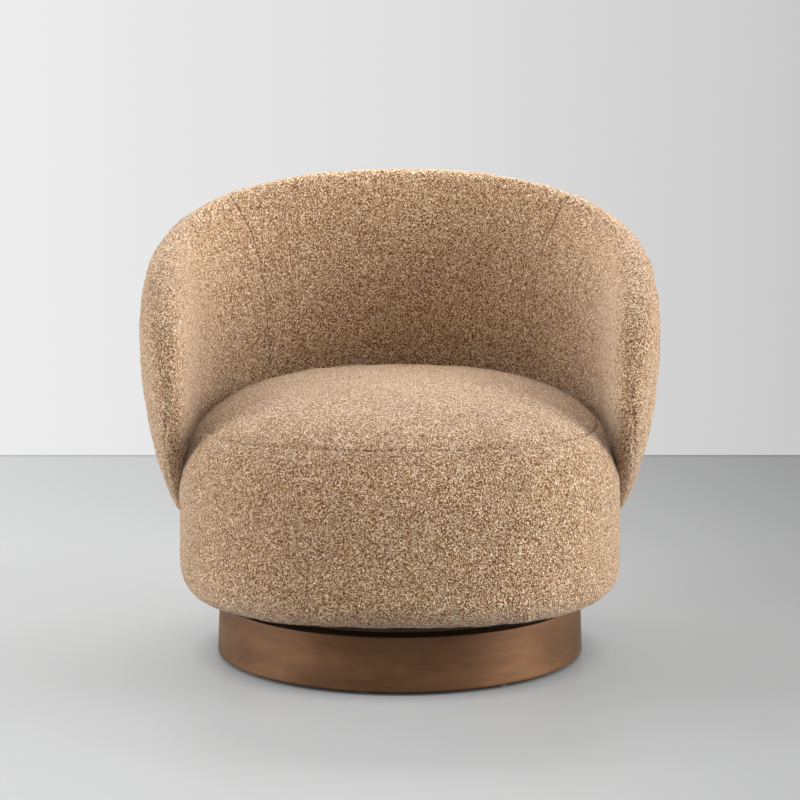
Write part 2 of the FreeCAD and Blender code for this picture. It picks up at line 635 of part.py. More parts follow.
def make_swivel():
    """Lower and upper plate with balls and cage between them, a centre rivet and the bolts."""
    lower = make_swivel_plate("LowerPlate")
    place(lower, z=TOP_BOARD_TOP)
    keep(lower, "swivel_lower_plate")
    upper = make_swivel_plate("UpperPlate")
    upper.Placement = FreeCAD.Placement(V(0, 0, value(SEAT_BOARD_Z)),
                                        FreeCAD.Rotation(V(0, 0, 1), 45) * FreeCAD.Rotation(V(1, 0, 0), 180))
    upper.setExpression("Placement.Base.z", SEAT_BOARD_Z)
    keep(upper, "swivel_upper_plate")

    ball = ball_solid(size("ball_radius"))
    balls = []
    for index in range(int(size("ball_count"))):
        x, y, _ = around("Sizes.race_radius", "Sizes.ball_count", "0", index)
        balls.append(ball.translated(V(value(x), value(y), value(BALL_Z))))
    keep(solid_feature("Balls", Part.makeCompound(balls)), "bearing_balls")

    cage = doc.addObject("PartDesign::Body", "CageBody")
    ring = sketch_on(cage, "CageRing")
    circle(ring, "Sizes.race_radius + Sizes.cage_width / 2")
    circle(ring, "Sizes.race_radius - Sizes.cage_width / 2")
    padded(cage, ring, "Sizes.cage_sheet", "CagePad")
    hole = sketch_on(cage, "CageHole")
    circle(hole, "Sizes.ball_radius + Sizes.hole_gap", "Sizes.race_radius", "0")
    pocket = cage.newObject("PartDesign::Pocket", "CagePocket")
    pocket.Profile = hole
    pocket.Midplane = True
    pocket.setExpression("Length", "4 * Sizes.cage_sheet")
    doc.recompute()
    polar(cage, pocket, "Sizes.ball_count", "CageHoles")
    place(cage, z=f"{BALL_Z} - Sizes.cage_sheet / 2")
    keep(cage, "ball_cage")

    # The hollow rivet is fixed to the lower plate, and the upper plate turns on it.
    under_dish = f"({TOP_BOARD_TOP} + Sizes.race_rise - Sizes.plate_sheet)"
    over_dish = f"({SEAT_BOARD_Z} - Sizes.race_rise + Sizes.plate_sheet)"
    washer_base = f"({over_dish} + Sizes.pin_gap)"
    top_head = f"({washer_base} + Sizes.washer_sheet)"
    low_head = cylinder("PinLowHead", "Sizes.pin_head", "Sizes.pin_head_height",
                        z=f"{under_dish} - Sizes.pin_head_height")
    shank = cylinder("PinShank", "Sizes.pin_radius", f"{top_head} - {under_dish}", z=under_dish)
    high_head = cylinder("PinHighHead", "Sizes.pin_head", "Sizes.pin_head_height", z=top_head)
    bore = cylinder("PinBore", "Sizes.pin_bore", "Sizes.swivel_height", z=TOP_BOARD_TOP)
    rivet = fused("PinSolid", [low_head, shank, high_head])
    keep(cut("Pin", rivet, bore), "swivel_rivet")
    washer = cylinder("WasherDisc", "Sizes.pin_head", "Sizes.washer_sheet", z=washer_base)
    washer_hole = cylinder("WasherHole", "Sizes.pin_radius + Sizes.pin_gap", "Sizes.swivel_height",
                           z=TOP_BOARD_TOP)
    keep(cut("Washer", washer, washer_hole), "rivet_washer")

    low_length = "Sizes.plate_sheet + Sizes.top_board + 3"
    high_length = "Sizes.plate_sheet + Sizes.seat_board + 3"
    low_bolts = []
    low_nuts = []
    high_bolts = []
    high_nuts = []
    for index, (x, y) in enumerate(bolt_places("0")):
        low_bolts.append(hex_bolt(f"LowBolt{index}", x, y, f"{TOP_BOARD_TOP} + Sizes.plate_sheet",
                                  low_length, -1))
        low_nuts.append(tee_nut(f"LowNut{index}", x, y, TOP_BOARD_Z, -1))
    for index, (x, y) in enumerate(bolt_places("45")):
        high_bolts.append(hex_bolt(f"HighBolt{index}", x, y, f"{SEAT_BOARD_Z} - Sizes.plate_sheet",
                                   high_length, +1))
        high_nuts.append(tee_nut(f"HighNut{index}", x, y, SEAT_BOARD_TOP, +1))
    keep(grouped("LowBolts", low_bolts), "swivel_lower_bolts")
    keep(grouped("LowNuts", low_nuts), "swivel_lower_tee_nuts")
    keep(grouped("HighBolts", high_bolts), "swivel_upper_bolts")
    keep(grouped("HighNuts", high_nuts), "swivel_upper_tee_nuts")


# ---------------------------------------------------------------------------------------------
# The drum's form
# ---------------------------------------------------------------------------------------------
PLAN_POINTS = 32
DOME_STEPS = (15, 30, 44, 56, 67, 76, 84)


def drum_half_sizes(inset, level):
    """Half width and half depth of the drum, drawn in by an inset, at a height."""
    half_x = value(DRUM_HALF_WIDTH) - inset
    half_y = value(DRUM_HALF_DEPTH) - inset
    low = value(DRUM_BOTTOM) + inset
    corner = size("drum_corner")
    if level < low + corner:
        fall = corner - math.sqrt(max(corner ** 2 - (low + corner - level) ** 2, 0.0))
        return half_x - fall, half_y - fall
    shoulder = size("drum_shoulder")
    if level <= shoulder:
        return half_x, half_y
    power = size("dome_squareness")
    rise = min((level - shoulder) / (size("drum_crown") - inset - shoulder), 1.0)
    share = max(1.0 - rise ** power, 0.0) ** (1.0 / power)
    return half_x * share, half_y * share


def drum_ring(half_x, half_y, level):
    """Points of the drum's plan, a superellipse |x/a|^n + |y/b|^n = 1, at a height."""
    power = size("drum_squareness")
    middle = size("drum_centre")
    points = []
    for index in range(PLAN_POINTS):
        angle = 2 * math.pi * index / PLAN_POINTS
        along, across = math.cos(angle), math.sin(angle)
        reach = (abs(along / half_x) ** power + abs(across / half_y) ** power) ** (-1.0 / power)
        points.append(V(reach * along, middle + reach * across, level))
    return points


def drum_levels(inset):
    """Heights that follow the drum's lower corner and its dome."""
    base = value(DRUM_BOTTOM) + inset
    corner = size("drum_corner")
    shoulder = size("drum_shoulder")
    crown = size("drum_crown") - inset
    levels = [base + corner * (1 - math.cos(math.radians(step))) for step in (0, 25, 45, 65, 90)]
    levels += [(base + corner + shoulder) / 2, shoulder]
    for step in DOME_STEPS:
        share = math.sin(math.radians(step)) ** (2 / size("dome_squareness"))
        levels.append(shoulder + (crown - shoulder) * share)
    return levels


def drum_solid(inset):
    """The whole drum, drawn in by an inset."""
    return faceted([drum_ring(*drum_half_sizes(inset, level), level) for level in drum_levels(inset)])


def drum_prism(inset, low, high):
    """An upright block with the drum's plan, drawn in by an inset."""
    half_x = value(DRUM_HALF_WIDTH) - inset
    half_y = value(DRUM_HALF_DEPTH) - inset
    ring = drum_ring(half_x, half_y, low)
    return Part.Face(Part.makePolygon(ring + [ring[0]])).extrude(V(0, 0, high - low))


def drum_depth_at(inset, across):
    """Half depth of the drum's plan, drawn in by an inset, at a distance from its middle line."""
    half_x = value(DRUM_HALF_WIDTH) - inset
    half_y = value(DRUM_HALF_DEPTH) - inset
    power = size("drum_squareness")
    return half_y * (1 - abs(across / half_x) ** power) ** (1 / power)


def drum_width_at(inset, along):
    """Half width of the drum's plan, drawn in by an inset, at a distance from its centre."""
    half_x = value(DRUM_HALF_WIDTH) - inset
    half_y = value(DRUM_HALF_DEPTH) - inset
    power = size("drum_squareness")
    return half_x * (1 - abs(along / half_y) ** power) ** (1 / power)


# ---------------------------------------------------------------------------------------------
# Seat frame and spring deck
# ---------------------------------------------------------------------------------------------
def make_seat_frame(bolt_tools):
    """Bottom board, posts, seat rail and fibreboard wrap of the drum."""
    inset = value(FRAME_INSET)
    board_low, board_top = value(SEAT_BOARD_Z), value(SEAT_BOARD_TOP)
    rail_low, rail_top = value(RAIL_Z), value(RAIL_TOP)

    posts = []
    screws = []
    screw_tools = []
    count = int(size("seat_post_count"))
    width, depth = size("seat_post_width"), size("seat_post_depth")
    for index in range(count):
        angle = 2 * math.pi * (index + 0.5) / count
        power = size("drum_squareness")
        edge = inset + size("seat_post_set")
        half_x = value(DRUM_HALF_WIDTH) - edge
        half_y = value(DRUM_HALF_DEPTH) - edge
        across, along = abs(math.cos(angle) / half_x), abs(math.sin(angle) / half_y)
        middle = (across ** power + along ** power) ** (-1 / power) - depth / 2
        x = middle * math.cos(angle)
        y = size("drum_centre") + middle * math.sin(angle)
        block = Part.makeBox(depth, width, rail_low - board_top, V(-depth / 2, -width / 2, 0))
        block.rotate(V(0, 0, 0), V(0, 0, 1), math.degrees(angle))
        block.translate(V(x, y, board_top))
        low_screw, low_hole = plain_screw(x, y, board_low, +1)
        top_screw, top_hole = plain_screw(x, y, rail_top, -1)
        posts.append(block.cut(Part.makeCompound([low_hole, top_hole])))
        screws += [low_screw, top_screw]
        screw_tools += [low_hole, top_hole]
    holes = Part.makeCompound(screw_tools)
    keep(solid_feature("SeatPosts", Part.makeCompound(posts)), "seat_frame_posts")
    keep(solid_feature("SeatScrews", Part.makeCompound(screws)), "seat_frame_screws")

    board = drum_prism(inset, board_low, board_top)
    bolt_holes = [nut_hole(f"HighBoltHole{index}", x, y, SEAT_BOARD_TOP, "Sizes.seat_board", +1)
                  for index, (x, y) in enumerate(bolt_places("45"))]
    doc.recompute()
    for hole in bolt_holes:
        board = board.cut(hole.Shape)
    keep(solid_feature("SeatBoard", board.cut(holes)), "seat_bottom_board")

    rail = drum_prism(inset, rail_low, rail_top)
    opening = drum_prism(inset + size("seat_rail_width"), rail_low - 1, rail_top + 1)
    rail = rail.cut(opening).cut(holes).cut(bolt_tools)
    keep(solid_feature("SeatRail", rail), "seat_frame_rail")

    wrap_inset = inset - size("side_board")
    wrap = drum_prism(wrap_inset, board_low, rail_top).cut(drum_prism(inset, board_low - 1, rail_top + 1))
    keep(solid_feature("SeatWrap", wrap.cut(bolt_tools)), "seat_side_board")


def plain_screw(x, y, level, direction):
    """A countersunk screw and its hole, with the head's face at a height."""
    head_height = size("screw_head") - size("screw_radius")
    gap = size("hole_gap")
    way = V(0, 0, direction)
    start = V(x, y, level)
    neck = V(x, y, level + direction * head_height)
    head = Part.makeCone(size("screw_head"), size("screw_radius"), head_height, start, way)
    shank = Part.makeCylinder(size("screw_radius"), size("screw_length"), neck, way)
    sink = Part.makeCone(size("screw_head") + gap, size("screw_radius") + gap, head_height, start, way)
    bore = Part.makeCylinder(size("screw_radius") + gap, size("screw_length") + gap, neck, way)
    return head.fuse(shank).removeSplitter(), sink.fuse(bore).removeSplitter()


def spring_path(x, front, rear, level):
    """Corners of a sinuous spring: cross bars joined by loops, from front to rear."""
    half = value(SPRING_HALF)
    bars = int((rear - front) / size("spring_pitch"))
    pitch = (rear - front) / bars
    points = []
    side = -1
    for index in range(bars + 1):
        y = front + index * pitch
        start = V(x + side * half, y, level)
        end = V(x - side * half, y, level)
        points += [start, end]
        if index < bars:
            # A half round loop in three straight steps.
            for turn in (60, 120):
                out = math.sin(math.radians(turn)) * pitch / 2
                ahead = pitch / 2 * (1 - math.cos(math.radians(turn)))
                points.append(V(x - side * (half + out), y + ahead, level))
        side = -side
    return points


def bent_wire(points, radius):
    """A wire of six flats along a level path, mitred at its corners."""
    rows = []
    for index, point in enumerate(points):
        before = points[max(index - 1, 0)]
        after = points[min(index + 1, len(points) - 1)]
        way_in = (point - before) if index else (after - point)
        way_out = (after - point) if after != point else way_in
        way_in.normalize()
        way_out.normalize()
        along = way_in + way_out
        along.normalize()
        across = V(-along.y, along.x, 0) * (radius / math.sqrt((1 + way_in.dot(way_out)) / 2))
        turns = [math.radians(60 * step + 30) for step in range(6)]
        rows.append([point + across * math.cos(turn) + V(0, 0, radius * math.sin(turn)) for turn in turns])
    return faceted(rows)


def make_spring_deck():
    """Sinuous springs in clips on the seat rail, tie wires under them and a felt pad on top."""
    inner = value(FRAME_INSET) + size("seat_rail_width")
    rail_top = value(RAIL_TOP)
    level = value(SPRING_Z)
    wire = size("spring_wire")
    gap = size("hole_gap")
    centre = size("drum_centre")
    count = int(size("spring_count"))
    clips = []
    for index in range(count):
        outermost = value(DRUM_HALF_WIDTH) - size("spring_edge")
        x = outermost * (2 * index / (count - 1) - 1)
        reach = drum_depth_at(inner, abs(x) + value(SPRING_HALF)) + size("spring_lap")
        front, rear = centre - reach, centre + reach
        spring = bent_wire(spring_path(x, front, rear, level), wire)
        keep(solid_feature(f"Spring{index}", spring), f"seat_spring_{index + 1}")
        clips += [spring_clip(x, front, rail_top, level, -1), spring_clip(x, rear, rail_top, level, +1)]
    keep(solid_feature("SpringClips", Part.makeCompound(clips)), "spring_clips")

    ties = []
    for side in (-1, 1):
        along = side * size("tie_half_spacing")
        half = drum_width_at(inner, along) + size("spring_lap")
        start = V(-half, centre + along, rail_top + size("tie_wire") + gap)
        ties.append(Part.makeCylinder(size("tie_wire"), 2 * half, start, V(1, 0, 0)))
    keep(solid_feature("TieWires", Part.makeCompound(ties)), "spring_tie_wires")

    pad_low = value(PAD_Z)
    pad = drum_prism(value(FRAME_INSET) + size("side_board"), pad_low, pad_low + size("pad_felt"))
    keep(solid_feature("FeltPad", pad), "spring_pad")


def spring_clip(x, y, rail_top, level, way):
    """A bent sheet clip: a foot on the rail and a hook round the spring's last bar."""
    sheet_ = size("clip_sheet")
    wire = size("spring_wire")
    gap = size("hole_gap")
    foot = size("clip_foot")
    inner = wire + gap
    low = rail_top
    eye_low = level - inner
    # Profile in the plane across the bar: foot, upright behind the bar and lip over it.
    profile = [
        (inner + sheet_ + foot, low),
        (inner + sheet_ + foot, low + sheet_),
        (inner + sheet_, low + sheet_),
        (inner + sheet_, level + inner - gap),
        (inner, level + inner - gap),
        (inner, eye_low),
        (-inner, eye_low),
        (-inner, low),
    ]
    half = size("clip_width") / 2
    points = [V(x - half, y + way * across, height) for across, height in profile]
    face = Part.Face(Part.makePolygon(points + [points[0]]))
    return face.extrude(V(2 * half, 0, 0))


# ---------------------------------------------------------------------------------------------
# Soft parts of the drum
# ---------------------------------------------------------------------------------------------
def make_drum_upholstery(bolt_tools):
    """Seat foam, side wadding, the two cover panels and the dust cloth."""
    cover, gap = size("cover"), size("soft_gap")
    bottom, seam = value(DRUM_BOTTOM), size("seat_seam")
    deck = value(DECK_TOP)
    crown = size("drum_crown")
    inside = cover + gap
    padding = drum_solid(inside)
    keep(solid_feature("SeatFoam", padding.common(slab(deck, crown))), "seat_foam")

    wadding_top = deck - gap
    hollow = drum_prism(inside + size("side_wadding"), bottom, wadding_top + 1)
    wadding = padding.common(slab(bottom, wadding_top)).cut(hollow)
    level = value(RAIL_Z) + size("seat_rail") / 2
    starts = [V(side * aside, size("drum_centre"), level) for side in (-1, 1) for aside in bolt_distances()]
    reach = 2 * value(DRUM_HALF_DEPTH)
    rods = [Part.makeCylinder(size("spacer_radius"), reach, start, V(0, 1, 0)) for start in starts]
    bores = [Part.makeCylinder(size("spacer_radius") + gap, reach, start, V(0, 1, 0)) for start in starts]
    spacers = wadding.common(Part.makeCompound(rods)).cut(bolt_tools)
    keep(solid_feature("BoltSpacers", without_crumbs(spacers)), "back_bolt_spacers")
    keep(solid_feature("SideWadding", largest(wadding.cut(Part.makeCompound(bores)))), "seat_side_foam")

    cloth_shell = drum_solid(0).cut(drum_solid(cover))
    top_cover = cloth_shell.common(slab(seam, crown + 1))
    keep(solid_feature("SeatTopCover", largest(top_cover)), "seat_top_cover")

    hem_opening = drum_prism(size("hem"), bottom - 1, bottom + cover + 1)
    border = cloth_shell.common(slab(bottom - 1, seam - 0.2)).cut(hem_opening).cut(bolt_tools)
    keep(solid_feature("SeatBorder", largest(border)), "seat_border_cover")

    cloth_top = bottom - 0.2
    cloth_low = cloth_top - size("dust_sheet")
    cloth = drum_prism(size("hem") - size("dust_lap"), cloth_low, cloth_top)
    swivel_hole = Part.makeCylinder(size("dust_hole"), 10, V(0, 0, cloth_low - 5))
    keep(solid_feature("DustCloth", cloth.cut(swivel_hole)), "dust_cover")


# ---------------------------------------------------------------------------------------------
# The back shell's form
# ---------------------------------------------------------------------------------------------
def shell_plan(half_width, depth, squareness, nose, station):
    """Plan of one face of the shell: a superellipse quarter, then a straight arm to the nose."""
    start = size("arm_start")
    share = size("curve_share")
    turn = min(station / share, 1.0) * math.pi / 2
    arm = max((station - share) / (1 - share), 0.0)
    x = half_width * math.sin(turn) ** (2 / squareness) * (1 - size("arm_toe_in") * arm ** 2)
    y = start + (depth - start) * max(math.cos(turn), 0.0) ** (2 / squareness) - arm * (start - nose)
    return x, y


class Skin:
    """One closed surface of the shell, drawn in from the outermost one by insets."""

    def __init__(self, inner, outer, rim, foot=0.0, pad=0.0):
        self.inner = inner
        self.pad = pad
        self.outer = outer
        self.nose = size("arm_nose") + rim
        self.top = size("back_height") - rim
        self.low = value(SHELL_BOTTOM) + rim + foot

    def inner_plan(self, away, share=1.0):
        """Plan point of the inner face at a station from 0 (rear) to 1 (nose), with a share of its pad."""
        inset = self.inner + self.pad * share
        return shell_plan(value(ARM_INSIDE) + inset, value(BACK_INSIDE) + inset,
                          size("inner_squareness"), self.nose, away)

    def outer_plan(self, away, drop):
        """Plan point of the outer face, squarer the further it drops below the belly."""
        squareness = size("outer_squareness") + (size("hem_squareness") - size("outer_squareness")) * drop
        return shell_plan(size("arm_half_width") - self.outer, size("back_depth") - self.outer,
                          squareness, self.nose, away)

    def place(self, station, level, mix):
        """A point at a height: on the inner face where mix is 0, on the outer one where it is 1."""
        away = abs(station)
        belly = size("belly_height")
        drop = max((belly - level) / (belly - value(SHELL_BOTTOM)), 0.0) ** size("taper_power")
        lift = max((level - belly) / (size("back_height") - belly), 0.0)
        narrow = 1 - size("side_taper") * drop - size("top_taper") * lift ** 2
        shallow = 1 - size("rear_taper") * drop - size("top_taper") * lift ** 2
        lean = 1 + size("top_lean") * lift
        thin = min(max(1 + (level - value(THIN_HIGH)) / size("thin_run"), 0.0), 1.0)
        inner_x, inner_y = self.inner_plan(away, size("thin_share") + (1 - size("thin_share")) * thin)
        outer_x, outer_y = self.outer_plan(away, drop)
        start = size("arm_start")
        if outer_y > start:
            outer_y = start + (outer_y - start) * shallow
            inner_y = start + (inner_y - start) * lean
        x = inner_x * lean + (outer_x * narrow - inner_x * lean) * mix
        y = inner_y + (outer_y - inner_y) * mix
        return V(math.copysign(x, station), y, level)

    def point(self, station, turn):
        """A point of the surface: station from -1 to 1 along the shell, turn round its section."""
        away = abs(station)
        rear = (self.inner_plan(0.0)[1] + self.outer_plan(0.0, 0.0)[1]) / 2
        middle = (self.inner_plan(away)[1] + self.outer_plan(away, 0.0)[1]) / 2
        ahead = min(max((rear - middle) / (rear - self.nose), 0.0), 1.0)
        squareness = size("roll_squareness")
        up, out = math.sin(turn), math.cos(turn)
        reach = (abs(up) ** squareness + abs(out) ** squareness) ** (-1 / squareness)
        centre = size("nose_height")
        if up > 0:
            half = (self.top - centre) * math.sqrt(max(1 - ahead ** size("rim_fall"), 0.0))
        else:
            half = (centre - self.low) * math.sqrt(max(1 - ahead ** size("hem_rise"), 0.0))
        mix = 0.5 * (1 + reach * out * math.sqrt(max(1 - away ** size("nose_round"), 0.0)))
        return self.place(station, centre + half * reach * up, mix)

    def rows(self):
        """Rings of points round the upright sections, from nose to nose."""
        turns = [2 * math.pi * step / SECTION_POINTS for step in range(SECTION_POINTS)]
        return [[self.point(station, turn) for turn in turns] for station in all_stations(ARM_STEPS)]


def sunk(rows, depth):
    """Rings of points moved inwards, square to their surface; the end rings stay flat."""
    last = len(rows) - 1
    moved = []
    for index, row in enumerate(rows):
        before, after = rows[max(index - 1, 0)], rows[min(index + 1, last)]
        middle = V(0, 0, 0)
        for point in row:
            middle += point * (1 / len(row))
        ring = []
        for step, point in enumerate(row):
            round_it = row[(step + 1) % len(row)] - row[step - 1]
            out = (after[step] - before[step]).cross(round_it)
            at_end = index in (0, last)
            if at_end:
                out.y = 0
            out.normalize()
            if out.dot(point - middle) < 0:
                out = -out
            ring.append(point - out * depth + V(0, depth if at_end else 0, 0))
        moved.append(ring)
    return moved


SECTION_POINTS = 16
CURVE_STEPS = (0, 9, 18, 27, 36, 45, 54, 63, 72, 81)
ARM_STEPS = (0.0, 0.3, 0.6, 0.8, 0.92, 0.985)
WALL_STEPS = (0.0, 0.5, 1.0, 1.3)
WALL_REACH = 0.6
CRUMB = 2000.0


def all_stations(arm_steps):
    """Stations from one nose round the back to the other: even turns on the curve, then the arms."""
    share = size("curve_share")
    half = [share * step / 90 for step in CURVE_STEPS]
    half += [share + (1 - share) * step for step in arm_steps]
    return [-station for station in reversed(half[1:])] + half


def inner_wall(skin, mix):
    """A tall wall that holds the shell's inside, out to a share of its thickness."""
    bottom, top = value(SHELL_BOTTOM) - 1, size("back_height") + 1
    levels = [bottom + (top - bottom) * step / 6 for step in range(7)]
    start = size("arm_start")
    rows = []
    for station in all_stations(WALL_STEPS):
        outside = [skin.place(station, level, mix) for level in levels]
        inside = [V(WALL_REACH * point.x, min(point.y, start + WALL_REACH * (point.y - start)), point.z)
                  for point in reversed(outside)]
        rows.append(outside + inside)
    return faceted(rows)


def largest(shape):
    """The largest solid of a shape, without the crumbs that a cut leaves."""
    return max(shape.Solids, key=lambda solid: solid.Volume)


def without_crumbs(shape):
    """The solids of a shape that are worth a saw cut."""
    return Part.makeCompound([solid for solid in shape.Solids if solid.Volume > CRUMB])


MARGIN = 50.0


def slab(low, high):
    """A wide flat block between two heights."""
    reach = size("arm_half_width") + MARGIN
    return Part.makeBox(2 * reach, 2 * reach, high - low, V(-reach, -reach, low))


def upright(x_low, x_high):
    """A tall block between two distances from the middle plane."""
    reach = size("arm_half_width") + MARGIN
    return Part.makeBox(x_high - x_low, 2 * reach, size("back_height") + MARGIN, V(x_low, -reach, 0))


# ---------------------------------------------------------------------------------------------
# Bolts that hold the back on the drum
# ---------------------------------------------------------------------------------------------
def bolt_distances():
    """Distances of the back bolts from the middle plane."""
    return size("back_bolt_near"), size("back_bolt_far")


def back_bolts(frame):
    """Bolts, tee nuts and the holes that they need, as three lists of solids."""
    level = value(RAIL_Z) + size("seat_rail") / 2
    inner = value(FRAME_INSET) + size("seat_rail_width")
    gap = size("hole_gap")
    way = V(0, 1, 0)
    places = []
    for side in (-1, 1):
        for aside in bolt_distances():
            head = V(side * aside, size("drum_centre") + drum_depth_at(inner, aside), level)
            places.append((head, V(side * aside, frame_rear(frame, level, aside), level)))
    bolts = []
    nuts = []
    tools = []
    for head, face in places:
        seat = face - way * size("spot_depth")
        start = head - way * 1.5
        reach = (seat - start).Length
        prism = hexagon(start - way * size("bolt_head_height"), way)
        bolts.append(prism.fuse(Part.makeCylinder(size("bolt_radius"), reach, start, way)).removeSplitter())
        flange = Part.makeCylinder(size("nut_flange"), size("nut_sheet"), seat, way)
        barrel = Part.makeCylinder(size("nut_barrel"), size("nut_depth"), seat - way * size("nut_depth"), way)
        bore = Part.makeCylinder(size("bolt_radius") + gap, 3 * size("nut_depth"),
                                 seat - way * size("nut_depth") * 2, way)
        nuts.append(flange.fuse(barrel).cut(bore))
        shank_hole = Part.makeCylinder(size("bolt_radius") + gap, reach + 4, start, way)
        head_flat = Part.makeCylinder(size("bolt_head") + 4, 12, start - way * 12, way)
        barrel_hole = Part.makeCylinder(size("nut_barrel") + gap, size("nut_depth") + gap + 4,
                                        seat - way * (size("nut_depth") + gap), way)
        spot = Part.makeCylinder(size("nut_flange") + 1, 6, seat, way)
        tools.append(shank_hole.fuse([head_flat, barrel_hole, spot]))
    return bolts, nuts, tools


def frame_rear(frame, level, aside):
    """Distance of the back frame's outer face behind the axis, at a place across the rear."""
    line = Part.makeLine(V(aside, 0, level), V(aside, size("back_depth"), level))
    return line.common(frame).BoundBox.YMax


def hexagon(base, way):
    """A hexagon bolt head standing on a point, along a direction."""
    radius = size("bolt_head") / math.cos(math.radians(30))
    points = [V(radius * math.cos(math.radians(60 * step)), radius * math.sin(math.radians(60 * step)), 0)
              for step in range(7)]
    prism = Part.Face(Part.makePolygon(points)).extrude(V(0, 0, size("bolt_head_height")))
    prism.Placement = FreeCAD.Placement(base, FreeCAD.Rotation(V(0, 0, 1), way))
    return prism


# ---------------------------------------------------------------------------------------------
# Back frame and upholstery
# ---------------------------------------------------------------------------------------------
def behind_foam(depth):
    """Rings of points on the surface that lies a depth behind the back foams."""
    depth += size("cover") + size("soft_gap")
    outer, rim = depth + size("outer_foam"), depth + size("rim_foam")
    return Skin(depth, outer, rim, size("foam_foot"), size("inner_foam")).rows()


def shell_layers():
    """Rings of points on each named surface, from the face of the covers down to the frame."""
    cover, gap, liner = size("cover"), size("soft_gap"), size("liner")
    face = Skin(0, 0, 0).rows()
    return {
        "face": face,
        "lining": sunk(face, cover),
        "foam": sunk(face, cover + gap),
        "foam_back": behind_foam(0.0),
        "liner": behind_foam(gap),
        "liner_back": behind_foam(gap + liner),
        "frame": behind_foam(2 * gap + liner),
    }


POST_TURNS = (-8, 30, 66, 90, 114, 150, 188)
POST_FROM = 60.0


def make_back(layers, bolts, nuts, bolt_tools):
    """Ribs, posts, liner, webbing, foams and covers of the back shell."""
    drum_space = drum_solid(-size("drum_gap"))
    frame_space = layers["frame"].cut(drum_space).cut(bolt_tools)
    rib = size("rib")
    rib_levels = {"back_lower_rib": value(RIB_LOW), "back_arm_rib": value(RIB_ARM),
                  "back_shoulder_rib": value(RIB_SHOULDER), "back_top_rib": value(RIB_TOP)}
    for label, low in rib_levels.items():
        shape = without_crumbs(frame_space.common(slab(low, low + rib)))
        keep(solid_feature(label.title().replace("_", ""), shape), label)

    boards = []
    thick = size("post")
    reach = size("arm_half_width") + size("back_depth")
    for degrees in POST_TURNS:
        board = Part.makeBox(reach, thick, size("back_height"), V(POST_FROM, -thick / 2, 0))
        board.rotate(V(0, 0, 0), V(0, 0, 1), degrees)
        boards.append(board.translated(V(0, size("arm_start"), 0)))
    posts = []
    levels = sorted(rib_levels.values())
    for low, high in zip(levels, levels[1:]):
        layer = frame_space.common(slab(low + rib, high))
        posts += [layer.common(board) for board in boards]
    keep(solid_feature("BackPosts", without_crumbs(Part.makeCompound(posts))), "back_posts")
    keep(solid_feature("BackBolts", Part.makeCompound(bolts)), "back_bolts")
    keep(solid_feature("BackNuts", Part.makeCompound(nuts)), "back_tee_nuts")

    wall = inner_wall(Skin(0, 0, 0), size("foam_split"))
    sheet_space = layers["liner"].cut(layers["liner_back"]).cut(drum_space)
    backing = sheet_space.common(slab(value(RIB_LOW), value(RIB_TOP) + rib)).cut(wall).cut(bolt_tools)
    keep(solid_feature("BackBoard", largest(backing)), "back_outer_board")
    webbing = sheet_space.common(wall)
    width = size("webbing_width")
    straps = [largest(webbing.common(slab(low, low + width)))
              for low in (value(WEBBING_LOW), value(WEBBING_HIGH))]
    keep(solid_feature("Webbing", Part.makeCompound(straps)), "back_webbing")

    padding = layers["foam"].cut(layers["foam_back"]).cut(drum_space)
    keep(solid_feature("InnerFoam", largest(padding.common(wall))), "back_inner_foam")
    keep(solid_feature("OuterFoam", largest(padding.cut(wall).cut(bolt_tools))), "back_outer_foam")

    fabric = layers["face"].cut(layers["lining"]).cut(drum_space)
    wall = inner_wall(Skin(0, 0, 0), size("seam_place"))
    keep(solid_feature("OutsideCover", largest(fabric.cut(wall))), "outside_back_cover")
    inside = largest(fabric.common(wall))
    edge = size("arm_half_width") + MARGIN
    panel = value(PANEL_SEAM)
    panels = {"inside_back_cover": (-panel, panel), "inside_arm_cover_left": (panel, edge),
              "inside_arm_cover_right": (-edge, -panel)}
    for label, (x_low, x_high) in panels.items():
        shape = largest(inside.common(upright(x_low, x_high)))
        keep(solid_feature(label.title().replace("_", ""), shape), label)


# ---------------------------------------------------------------------------------------------
# Build, check and write
# ---------------------------------------------------------------------------------------------
def check_objects():
    """Stop if any object failed or any sub-part has no sound shape."""
    for item in doc.Objects:
        if "Invalid" in item.State or "Error" in item.State:
            raise RuntimeError(f"{item.Name} failed: {item.State}")
    for item in nodes:
        if item.Shape.isNull() or not item.Shape.isValid() or not item.Shape.Solids:
            raise RuntimeError(f"{item.Label} has no sound shape")


def write_parts():
    """Write every sub-part to its own file and print its volume."""
    for item in nodes:
        item.Shape.exportStep(f"parts/{item.Label}.step")
        print(f"{item.Label}: {len(item.Shape.Solids)} solids, {item.Shape.Volume / 1000:.1f} cm3")


make_plinth()
make_swivel()
shell_solids = {name: faceted(rows) for name, rows in shell_layers().items()}
bolt_solids, nut_solids, tool_solids = back_bolts(shell_solids["frame"])
bolt_space = Part.makeCompound(tool_solids)
make_seat_frame(bolt_space)
make_spring_deck()
make_drum_upholstery(bolt_space)
make_back(shell_solids, bolt_solids, nut_solids, bolt_space)
doc.recompute()
check_objects()
write_parts()
print(f"{len(nodes)} nodes")
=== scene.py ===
import json

